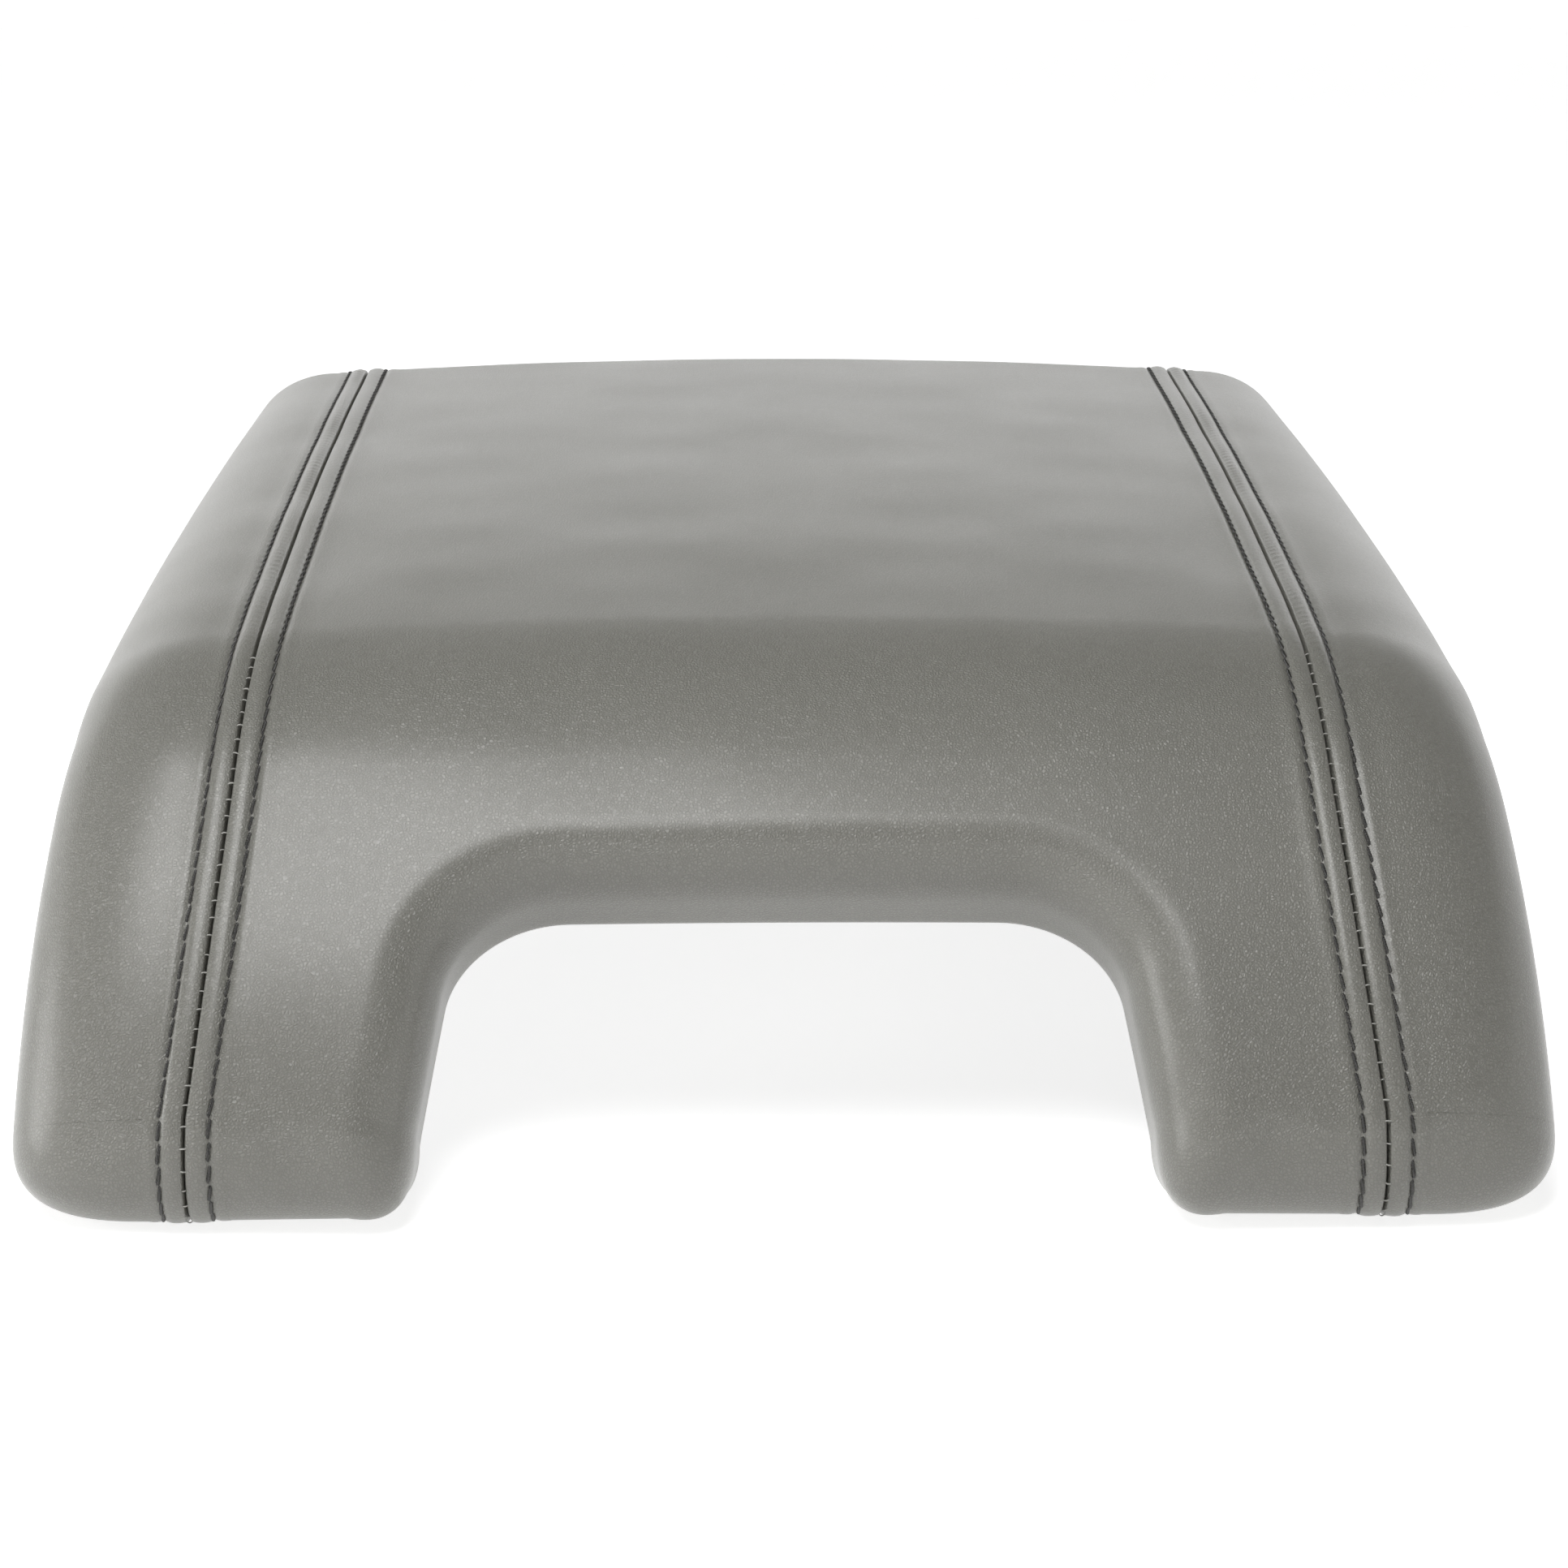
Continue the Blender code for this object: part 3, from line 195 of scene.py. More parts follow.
# Camera, fitted to the photograph
CAMERA_PLACE = (-0.0119, -1.1443, 0.3372)
CAMERA_DOWN = math.radians(16.84)
CAMERA_TURN = math.radians(0.83)
CAMERA_LENS = 87.4
SENSOR = 36.0

# Studio: floor and round wall with their shade and glow, the ceiling's light and the lamps
FLOOR_SIZE = 5.0
FLOOR_SHADE = 0.92
FLOOR_GLOW = 0.78
WALL_RADIUS = 2.4
WALL_HEIGHT = 1.12
WALL_SEGMENTS = 72
WALL_SHADE = 0.9
WALL_GLOW = 0.9
CEILING_COLOUR = (1.0, 0.99, 0.97, 1.0)
CEILING_LIGHT = 0.08
LAMP_TARGET = (0.0, -0.2, 0.07)
LAMPS = (
    ("key", (-0.34, -0.72, 1.5), (0.95, 0.8), 16.5),
    ("left", (-1.9, -0.4, 0.5), (0.9, 0.7), 8.0),
)

# Height of the foam's uneven surface
FOAM_WAVE = 0.00006

# Colours of the leather: darker and lighter parts, painted shade for the valleys of the grain, and specks
# of dust
LEATHER_DARK = (0.258, 0.254, 0.226)
LEATHER_LIGHT = (0.286, 0.281, 0.250)
LEATHER_VALLEY_SHADE = (0.170, 0.168, 0.150)
LEATHER_SPECK = (0.62, 0.62, 0.60)

# How fine the leather's pebbles, pores, broad unevenness, warp and specks are, and their heights
PEBBLE_SCALE = 1300.0
PORE_SCALE = 2500.0
BROAD_SCALE = 160.0
WARP_SCALE = 240.0
SPECK_SCALE = 95.0
WARP = 0.0011
PORE_SHARE = 0.28
BROAD_SHARE = 0.9
GRAIN_STRENGTH = 0.9
GRAIN_DEPTH = 0.00016
# How strongly the painted shade darkens the valleys of the grain
VALLEY_SHADE_SHARE = 0.6

rng = np.random.default_rng(7)


def profile(run):
    """Forward distance, height and slope of the side profile at runs from the rear edge."""
    run = np.asarray(run, float)
    slope = np.full_like(run, SLOPES[0])
    forward = run * math.cos(SLOPES[0])
    height = -run * math.sin(SLOPES[0])
    start = 0.0
    at_forward = 0.0
    at_height = 0.0
    for length, low, high in zip(RUNS, SLOPES[:-1], SLOPES[1:]):
        bend = (high - low) / length
        inside = run >= start
        turned = low + bend * np.minimum(run - start, length)
        slope = np.where(inside, turned, slope)
        forward = np.where(inside, at_forward + (np.sin(turned) - math.sin(low)) / bend, forward)
        height = np.where(inside, at_height + (np.cos(turned) - math.cos(low)) / bend, height)
        at_forward += (math.sin(high) - math.sin(low)) / bend
        at_height += (math.cos(high) - math.cos(low)) / bend
        start += length
    past = np.maximum(run - start, 0.0)
    forward = forward + past * math.cos(SLOPES[-1])
    height = height - past * math.sin(SLOPES[-1])
    return forward, height, slope


def surface(across, run, depth):
    """Points at depths below the lid's surface, measured square to the side profile."""
    across, run, depth = np.broadcast_arrays(across, run, depth)
    forward, height, slope = profile(run)
    back = LID_REAR - forward + depth * np.sin(slope)
    up = LID_TOP + height - depth * np.cos(slope)
    return np.stack((across, back, up), axis=-1)


def crown(across):
    """How much the top has dropped below its middle at distances across."""
    return np.square(across) / (2 * CROWN_RADIUS)


def seam_place(run):
    """Distance of the seam from the middle of the lid."""
    share = np.maximum(0.0, (np.asarray(run, float) - FOLD_START) / (TIP_OUTLINE - FOLD_START))
    return SEAM_HALF_SPACING + SEAM_FLARE * share ** 2


def half_width(run):
    """Half the lid's width at runs from the rear edge."""
    run = np.asarray(run, float)
    top = HALF_WIDTH_REAR + (HALF_WIDTH_FOLD - HALF_WIDTH_REAR) * np.clip(run / FLARE_START, 0, 1)
    share = np.clip((run - FLARE_START) / (TIP_OUTLINE - FLARE_START), 0, 1)
    return top + (HALF_WIDTH_TIPS - HALF_WIDTH_FOLD) * np.sin(share * math.pi / 2)


def spaced(start, end, step):
    """Values from start to end, both included, about a step apart."""
    return np.linspace(start, end, max(2, int(round(abs(end - start) / step)) + 1))


def bell(value, middle, width):
    """Smooth bump of height 1."""
    return np.exp(-np.square((value - middle) / width))


def band_rise(away):
    """Height of the padded band between the groove and the topstitches."""
    return BAND_HEIGHT * np.sin(math.pi * np.clip((away - BAND_START) / BAND_WIDTH, 0, 1)) ** BAND_POWER


def seam_relief(offset, run):
    """How far the leather stands out near a seam, at offsets towards the shoulder from it.

    The puckers come and go along the seam. They are weaker on the middle's side and down the legs.
    """
    away = np.abs(offset)
    height = band_rise(away) - GROOVE_DIP * bell(away, 0.0, GROOVE_WIDTH)
    hole = np.cos(2 * math.pi * run / STITCH_PITCH - math.pi)
    pinch = PINCH_DEPTH + PINCH_AT_HOLE * np.clip(hole, 0, 1) ** 2
    height = height - pinch * bell(away, STITCH_OFFSET, PINCH_WIDTH)
    height = height + BEAD_HEIGHT * bell(away, BEAD_OFFSET, BEAD_WIDTH)
    drift = 0.55 + 0.45 * np.sin(run * 61.0 + 1.3) * np.sin(run * 23.0 + 0.4)
    waver = 1.6 * np.sin(run * 187.0)
    ripple = np.sin(2 * math.pi * (run / PUCKER_PITCH + away / PUCKER_SLANT) + waver)
    share = np.where(np.asarray(offset) > 0, 1.0, 0.4) * np.clip(1.25 - run / 0.44, 0.25, 1)
    return height + PUCKER_HEIGHT * share * drift * ripple * bell(away, PUCKER_OFFSET, PUCKER_WIDTH)


def hollows(across, run):
    """Depth of the shallow dents and slow waves in the leather."""
    depth = 0.0
    for place, along, radius, deep in DENTS:
        depth = depth + deep * bell(np.hypot(np.abs(across) - place, run - along), 0.0, radius)
    for along, sideways, phase, height in WAVES:
        depth = depth + height * np.sin(run * along + phase) * np.sin(np.abs(across) * sideways + 2 * phase)
    return depth


class Edge:
    """A row of places on the edge of the nearly flat area, where a rolled edge starts."""

    def __init__(self, across, run, reach, drop, rake):
        across = np.asarray(across, float)
        self.across = across
        self.run = np.broadcast_to(np.asarray(run, float), across.shape)
        self.reach = np.broadcast_to(np.asarray(reach, float), across.shape + (2,))
        self.drop = np.broadcast_to(np.asarray(drop, float), across.shape)
        self.rake = np.broadcast_to(np.asarray(rake, float), across.shape)
        self.length = np.linalg.norm(self.reach, axis=-1)
        self.outward = self.reach / self.length[..., None]
        self.end = math.pi / 2 + np.arctan(self.rake * self.drop / self.length)

    def arc(self):
        """Length of the roll along the surface."""
        return self.end * np.sqrt((self.length ** 2 + self.drop ** 2) / 2)

    def place(self, sideways, depth):
        """Points sideways from the edge and at a depth."""
        across = self.across + self.outward[..., 0] * sideways
        run = self.run + self.outward[..., 1] * sideways
        return surface(across, run, depth + crown(self.across))

    def ring(self, share, rise):
        """Points on the roll, from share 0 at its start to 1 at the wall, raised a little."""
        angle = self.end * share
        across = self.drop * np.sin(angle)
        inward = self.length * np.cos(angle)
        size = np.hypot(across, inward)
        inset = self.sink(share) - rise
        sideways = self.length * np.sin(angle) - inset * across / size
        depth = self.drop * (1 - np.cos(angle)) + inset * inward / size
        return self.place(sideways, depth)

    def sink(self, share):
        """Depth of the leather's hollows, carried over the roll and faded out at the wall."""
        out = self.arc() * share
        depth = hollows(self.across + self.outward[..., 0] * out, self.run + self.outward[..., 1] * out)
        return depth * (1 - share)

    def wall(self, depth):
        """How far out the raked wall stands at a depth."""
        start = self.drop * (1 - np.cos(self.end))
        return self.length * np.sin(self.end) - self.rake * (depth - start)

    def hem(self):
        """Rows down the wall, round under the rim, along the glued flange and up its cut edge."""
        lean = np.arctan(self.rake)
        turn_start = HEM_DEPTH - HEM_RADIUS * (1 - np.sin(lean))
        centre = self.wall(turn_start) - HEM_RADIUS * np.cos(lean)
        depth = HEM_DEPTH - HEM_RADIUS
        wall_top = self.drop * (1 - np.cos(self.end))
        rows = []
        for share in np.linspace(0, 1, WALL_STEPS + 2)[1:-1]:
            down = wall_top + (turn_start - wall_top) * share
            rows.append(self.place(self.wall(down), down))
        for share in np.linspace(0, 1, HEM_STEPS):
            angle = lean + (math.pi / 2 - lean) * share
            rows.append(self.place(centre + HEM_RADIUS * np.cos(angle), depth + HEM_RADIUS * np.sin(angle)))
        for share in (0.5, 1.0):
            rows.append(self.place(centre - HEM_WIDTH * share, HEM_DEPTH))
        rows.append(self.place(centre - HEM_WIDTH, HEM_DEPTH - LEATHER))
        return rows


def rear_edge(across):
    """Edge that rolls down at the rear."""
    return Edge(across, REAR_ROLL, (0.0, -REAR_ROLL), REAR_ROLL, 0.0)


def tip_edge(across):
    """Edge that rolls down at the tip of a leg."""
    return Edge(across, TIP_START, (0.0, TIP_REACH), TIP_DROP, 1 / math.tan(SLOPES[-1]))


def side_edge(run):
    """Edge that rolls down over the shoulder."""
    start = seam_place(run) + SHOULDER_START
    reach = np.stack((half_width(run) - start, np.zeros_like(start)), axis=-1)
    return Edge(start, run, reach, SHOULDER_DROP, 0.0)


def notch_line():
    """Half of the notch's edge from the middle to the tip: across, run and outward direction."""
    radius = NOTCH_FILLET + NOTCH_ROLL
    top = np.linspace(0, NOTCH_TOP_HALF, TOP_COLUMNS + 1)
    turns = np.linspace(0, math.pi / 4, ARC_COLUMNS + 1)[1:]
    last = math.pi / 2 - NOTCH_FLARE
    turns = np.concatenate((turns, np.linspace(math.pi / 4, last, ARC_ROWS + 1)[1:]))
    arc_across = NOTCH_TOP_HALF + radius * np.sin(turns)
    arc_run = NOTCH_TOP + NOTCH_FILLET - radius * np.cos(turns)
    leg_run = spaced(arc_run[-1], TIP_START, ROW_STEP)[1:]
    leg_across = arc_across[-1] + (leg_run - arc_run[-1]) * math.tan(NOTCH_FLARE)
    across = np.concatenate((top, arc_across, leg_across))
    run = np.concatenate((np.full(len(top), NOTCH_TOP - NOTCH_ROLL), arc_run, leg_run))
    angles = np.concatenate((np.zeros(len(top)), turns, np.full(len(leg_run), last)))
    return across, run, np.stack((-np.sin(angles), np.cos(angles)), axis=-1)


def row_runs(notch_run):
    """Rows along the lid, from the rear roll to where the tip's roll starts."""
    return np.concatenate((spaced(REAR_ROLL, notch_run[JUNCTION], ROW_STEP), notch_run[JUNCTION + 1:]))


def flat(across, run, offset):
    """Leather on the nearly flat area, with the seam's relief."""
    return surface(across, run, crown(across) + hollows(across, run) - seam_relief(offset, run))


class Skin:
    """Grids of points that are welded into one mesh."""

    def __init__(self):
        self.points = []
        self.faces = []
        self.count = 0

    def grid(self, points):
        """Adds a grid of points, rows by columns."""
        rows, columns = points.shape[:2]
        index = self.count + np.arange(rows * columns).reshape(rows, columns)
        corners = (index[:-1, :-1], index[:-1, 1:], index[1:, 1:], index[1:, :-1])
        self.faces.append(np.stack(corners, axis=-1).reshape(-1, 4))
        self.points.append(points.reshape(-1, 3))
        self.count += rows * columns

    def strip(self, edge, rise_of=lambda share: 0.0):
        """Adds a rolled edge and its hem."""
        shares = np.linspace(0, 1, ROLL_STEPS + 1)
        rows = [edge.ring(share, rise_of(share)) for share in shares]
        self.grid(np.stack(rows + edge.hem()))

    def corner(self, first, second):
        """Adds a convex corner between the last places of two rolled edges."""
        steps = range(ROLL_STEPS + 1)
        rows = [corner_ring(first, second, [(i, j) for j in steps]) for i in steps]
        self.grid(np.stack(rows))
        outline = [(ROLL_STEPS, j) for j in steps] + [(i, ROLL_STEPS) for i in reversed(steps[:-1])]
        edge = corner_edge(first, second, outline)
        self.grid(np.stack([edge.ring(1.0, 0.0)] + edge.hem()))

    def finish(self, name, mirror=False, flip=False):
        """Welds the grids, faces them outwards and makes a smooth object."""
        points = np.concatenate(self.points)
        faces = np.concatenate(self.faces)
        if mirror:
            faces = np.concatenate((faces, faces[:, ::-1] + len(points)))
            points = np.concatenate((points, points * (-1, 1, 1)))
        elif flip:
            points = points * (-1, 1, 1)
        item = mesh_object(name, points, faces)
        mesh = bmesh.new()
        mesh.from_mesh(item.data)
        bmesh.ops.remove_doubles(mesh, verts=mesh.verts, dist=WELD_DISTANCE)
        bmesh.ops.recalc_face_normals(mesh, faces=mesh.faces)
        if sum(face.normal.z * face.calc_area() for face in mesh.faces) < 0:
            bmesh.ops.reverse_faces(mesh, faces=mesh.faces)
        mesh.to_mesh(item.data)
        mesh.free()
        return item


def turn_share(i, j):
    """Share of a corner's turn for steps towards its two sides."""
    if i == 0 and j == 0:
        return 0.5
    return 0.5 * j / i if i >= j else 1 - 0.5 * i / j


def corner_edge(first, second, pairs):
    """Edge through a corner, for pairs of steps towards each of its sides."""
    angle = np.array([turn_share(i, j) for i, j in pairs]) * math.pi / 2
    power = 2 / CORNER_FULLNESS
    weight_first = np.maximum(np.cos(angle), 0.0) ** power
    weight_second = np.sin(angle) ** power
    part = np.sin(angle) ** 2
    reach = first.reach[-1] * weight_first[:, None] + second.reach[-1] * weight_second[:, None]
    drop = first.drop[-1] * (1 - part) + second.drop[-1] * part
    rake = first.rake[-1] * (1 - part) + second.rake[-1] * part
    return Edge(np.full(len(pairs), first.across[-1]), first.run[-1], reach, drop, rake)


def corner_ring(first, second, pairs):
    """Points of one row of a corner."""
    edge = corner_edge(first, second, pairs)
    shares = np.array([max(i, j) / ROLL_STEPS for i, j in pairs])
    return edge.ring(shares, 0.0)


def mesh_object(name, points, faces):
    """Smooth-shaded object of points and faces."""
    data = bpy.data.meshes.new(name)
    data.from_pydata(points.tolist(), [], faces.tolist())
    data.polygons.foreach_set("use_smooth", np.ones(len(data.polygons), bool))
    data.update()
    item = bpy.data.objects.new(name, data)
    bpy.context.scene.collection.objects.link(item)
    return item


def seam_columns(run, side):
    """Columns beside the seam, out of the groove towards the middle (-1) or the shoulder (+1)."""
    offsets = side * np.array(SEAM_STEPS) / 1000
    return seam_place(run)[:, None] + offsets[None, :], np.broadcast_to(offsets, (len(run), len(offsets)))


def add_seam_field(skin, run, side):
    """Adds the leather beside the seam and the edge that turns down into its groove."""
    across, offsets = seam_columns(run, side)
    points = flat(across, run[:, None], offsets)
    lip = across[:, 0] - side * GROOVE_HALF / 2
    turned = surface(lip, run, crown(lip) + LIP_DEPTH)
    skin.grid(np.concatenate((turned[:, None], points), axis=1))
    for edge_of, row, sign in ((rear_edge, 0, -1), (tip_edge, -1, 1)):
        add_seam_end(skin, edge_of, run[row], sign, across[row], offsets[row], lip[row])
    return across


def add_seam_end(skin, edge_of, run, sign, across, offsets, lip):
    """Carries the leather beside the seam on over a rolled edge."""
    edge = edge_of(across)

    def rise_of(share):
        return seam_relief(offsets, run + sign * share * edge.arc()) * (1 - 0.5 * share)

    skin.strip(edge, rise_of)
    first = edge_of(across[:1])
    under = edge_of(np.array([lip]))
    rows = []
    for share in np.linspace(0, 1, ROLL_STEPS + 1):
        rows.append(np.concatenate((under.ring(share, -LIP_DEPTH), first.ring(share, rise_of(share)[:1]))))
    skin.grid(np.stack(rows))


def centre_panel():
    """Leather between the seams, with the notch and the inner halves of the legs."""
    notch_across, notch_run, outward = notch_line()
    run = row_runs(notch_run)
    first_leg_row = len(run) - len(notch_run) + JUNCTION
    skin = Skin()

    middle = run[:first_leg_row + 1]
    share = np.clip((middle - FOLD_START) / (middle[-1] - FOLD_START), 0, 1)
    stretched = FOLD_START + share[:, None] * (notch_run[None, :JUNCTION + 1] - FOLD_START)
    along = np.where(middle[:, None] > FOLD_START, stretched, middle[:, None])
    across = np.broadcast_to(notch_across[:JUNCTION + 1], along.shape)
    skin.grid(flat(across, along, across - seam_place(along)))

    seam_across = add_seam_field(skin, run, -1)
    inner = np.full(len(run), notch_across[JUNCTION])
    inner[first_leg_row:] = notch_across[JUNCTION:]
    shares = np.linspace(0, 1, LEG_COLUMNS + 1)
    field = inner[:, None] + shares * (seam_across[:, -1] - inner)[:, None]
    skin.grid(flat(field, run[:, None], field - seam_place(run)[:, None]))

    rear = np.concatenate((notch_across[:JUNCTION + 1], field[0, 1:]))
    rear_relief = seam_relief(rear - seam_place(REAR_ROLL), REAR_ROLL)
    skin.strip(rear_edge(rear), lambda share: rear_relief * (1 - share))
    tip_relief = seam_relief(field[-1] - seam_place(TIP_START), TIP_START)
    skin.strip(tip_edge(field[-1]), lambda share: tip_relief * (1 - share))
    notch = Edge(notch_across, notch_run, outward * NOTCH_ROLL, NOTCH_ROLL, 0.0)
    skin.strip(notch)
    skin.corner(notch, tip_edge(field[-1, :1]))
    return skin.finish("leather_center_panel", mirror=True)


def side_panel(name, flip):
    """Leather outside a seam, rolled over the shoulder and the outer half of the leg."""
    run = row_runs(notch_line()[1])
    skin = Skin()
    add_seam_field(skin, run, 1)
    side = side_edge(run)
    relief = seam_relief(SHOULDER_START, run)
    skin.strip(side, lambda share: relief * (1 - share))
    first = Edge(side.across[:1], run[0], side.reach[:1], SHOULDER_DROP, 0.0)
    skin.corner(first, rear_edge(first.across))
    skin.corner(side, tip_edge(side.across[-1:]))
    return skin.finish(name, flip=flip)


def seam_spot(offset, run, height):
    """Points near a seam at runs that may lie on the rolled ends, raised above the leather."""
    run = np.asarray(run, float)
    held = np.clip(run, REAR_ROLL, TIP_START)
    across = seam_place(held) + offset
    base = band_rise(abs(offset)) - ROW_SINK * bell(abs(offset), STITCH_OFFSET, PINCH_WIDTH) + height
    points = surface(across, held, crown(across) + hollows(across, held) - base)
    for edge_of, past in ((rear_edge, REAR_ROLL - run), (tip_edge, run - TIP_START)):
        edge = edge_of(across)
        share = np.clip(past / edge.arc(), 0, 1)
        points = np.where((past > 0)[:, None], edge.ring(share, base), points)
    return points


def seam_frames(offset, run, height):
    """Origin, tangent, sideways and outward directions near a seam."""
    origin = seam_spot(offset, run, height)
    tangent = seam_spot(offset, run + PROBE_STEP, height) - seam_spot(offset, run - PROBE_STEP, height)
    tangent /= np.linalg.norm(tangent, axis=1)[:, None]
    across = seam_place(run) + offset
    side = surface(across + 2 * PROBE_STEP, run, 0.0) - surface(across, run, 0.0)
    side -= (side * tangent).sum(axis=1)[:, None] * tangent
    side /= np.linalg.norm(side, axis=1)[:, None]
    return origin, tangent, side, np.cross(tangent, side)


def tube(centres, radius, around):
    """Open tube of rings about centres that run along the first axis, and its faces."""
    steps = len(centres)
    turns = 2 * math.pi * np.arange(around) / around
    rings = np.stack((0 * turns, np.cos(turns), np.sin(turns)), axis=-1) * radius
    points = (centres[:, None] + rings[None]).reshape(-1, 3)
    index = np.arange(steps * around).reshape(steps, around)
    following = np.roll(index, -1, axis=1)
    faces = np.stack((index[:-1], following[:-1], following[1:], index[1:]), axis=-1)
    return points, faces.reshape(-1, 4)


def stitch_shape():
    """One stitch of three twisted strands, centred, whose ends dive into the leather."""
    share = np.linspace(0, 1, STITCH_RINGS)
    along = (share - 0.5) * STITCH_LENGTH
    arch = np.clip(1 - np.abs(2 * share - 1) ** STITCH_FLATNESS, 0, 1)
    points = []
    faces = []
    for strand in range(3):
        angle = 2 * math.pi * (THREAD_TURNS * share + strand / 3)
        wind = STRAND_WIND * THREAD * (0.5 + 0.5 * arch)
        height = THREAD * (STITCH_RISE * arch - STITCH_SINK) + wind * np.sin(angle)
        centres = np.stack((along, wind * np.cos(angle), height), axis=-1)
        rings, quads = tube(centres, STRAND_RADIUS * THREAD, STRAND_SIDES)
        faces.append(quads + sum(len(item) for item in points))
        points.append(rings)
    return np.concatenate(points), np.concatenate(faces)


def lay_copies(name, shape, faces, frames, slant, scale, hand):
    """Copies of a small shape at frames on the lid, each turned and scaled a little.

    The faces keep their order when the left hand is mirrored, so there they turn the other way.
    """
    origin, tangent, side, out = frames
    local = shape[None] * scale[:, None, None]
    turn_cos = np.cos(slant)[:, None]
    turn_sin = np.sin(slant)[:, None]
    along = local[..., 0] * turn_cos - local[..., 1] * turn_sin
    sideways = local[..., 0] * turn_sin + local[..., 1] * turn_cos
    points = origin[:, None] + along[..., None] * tangent[:, None]
    points = points + sideways[..., None] * side[:, None] + local[..., 2:] * out[:, None]
    copies = faces[None] + (np.arange(len(origin)) * len(shape))[:, None, None]
    return mesh_object(name, points.reshape(-1, 3) * (hand, 1, 1), copies.reshape(-1, 4))


def sewn(run, spread):
    """Runs, slants and sizes of a row of stitches, each a little uneven."""
    drift, slant_mean, slant_spread, scale_spread = spread
    count = len(run)
    run = run + rng.normal(0, drift, count)
    slant = np.radians(slant_mean + rng.normal(0, slant_spread, count))
    scale = 1 + rng.normal(0, scale_spread, count)
    return run, slant, scale


def stitch_row(name, offset, hand):
    """A row of topstitches along a seam."""
    shape, faces = stitch_shape()
    first = math.ceil((REAR_ROLL - ROW_PAST_REAR) / STITCH_PITCH)
    last = math.floor((TIP_START + ROW_PAST_TIP) / STITCH_PITCH)
    run, slant, scale = sewn(np.arange(first, last) * STITCH_PITCH, STITCH_SPREAD)
    return lay_copies(name, shape, faces, seam_frames(offset, run, 0.0), slant, scale, hand)


def tick_row(name, hand):
    """The small pale stitches that show in the groove down the front.

    Laying the shape across the seam swaps two axes, which turns its faces inwards on the right.
    """
    share = np.linspace(-1, 1, TICK_RINGS)
    arch = TICK_ARCH * (1 - share ** 2)
    centres = np.stack((TICK_HALF * share, TICK_LEAN * share, arch), axis=-1)
    shape, faces = tube(centres, TICK_RADIUS, TICK_SIDES)
    across_seam = shape[:, [1, 0, 2]]
    run, slant, scale = sewn(np.arange(TICK_START, TIP_START + TICKS_PAST_TIP, TICK_PITCH), TICK_SPREAD)
    return lay_copies(name, across_seam, faces, seam_frames(0.0, run, TICK_LIFT), slant, scale, hand)


def foam_piece():
    """The pad under the leather, from its solid's faces.

    The solid's faces share no corners, so each one is rounded by itself and gaps stay between them.
    """
    item = bpy.data.objects.new("foam_layer", frame["nodes"]["foam_pad"].data.copy())
    bpy.context.scene.collection.objects.link(item)
    soft = item.modifiers.new("Soft", "SUBSURF")
    soft.levels = FOAM_LEVELS
    soft.render_levels = FOAM_LEVELS
    graph = bpy.context.evaluated_depsgraph_get()
    data = bpy.data.meshes.new_from_object(item.evaluated_get(graph))
    item.modifiers.clear()
    item.data = data
    data.materials.clear()
    count = len(data.vertices)
    points = np.empty(count * 3)
    data.vertices.foreach_get("co", points)
    points = points.reshape(count, 3)
    across, back, up = points.T
    wave = np.sin(across * 410) * np.sin(back * 370) + np.sin(back * 890 + across * 260 + up * 500)
    points[:, 2] += FOAM_WAVE * wave
    data.vertices.foreach_set("co", points.ravel())
    data.polygons.foreach_set("use_smooth", np.ones(len(data.polygons), bool))
    data.update()
    return item


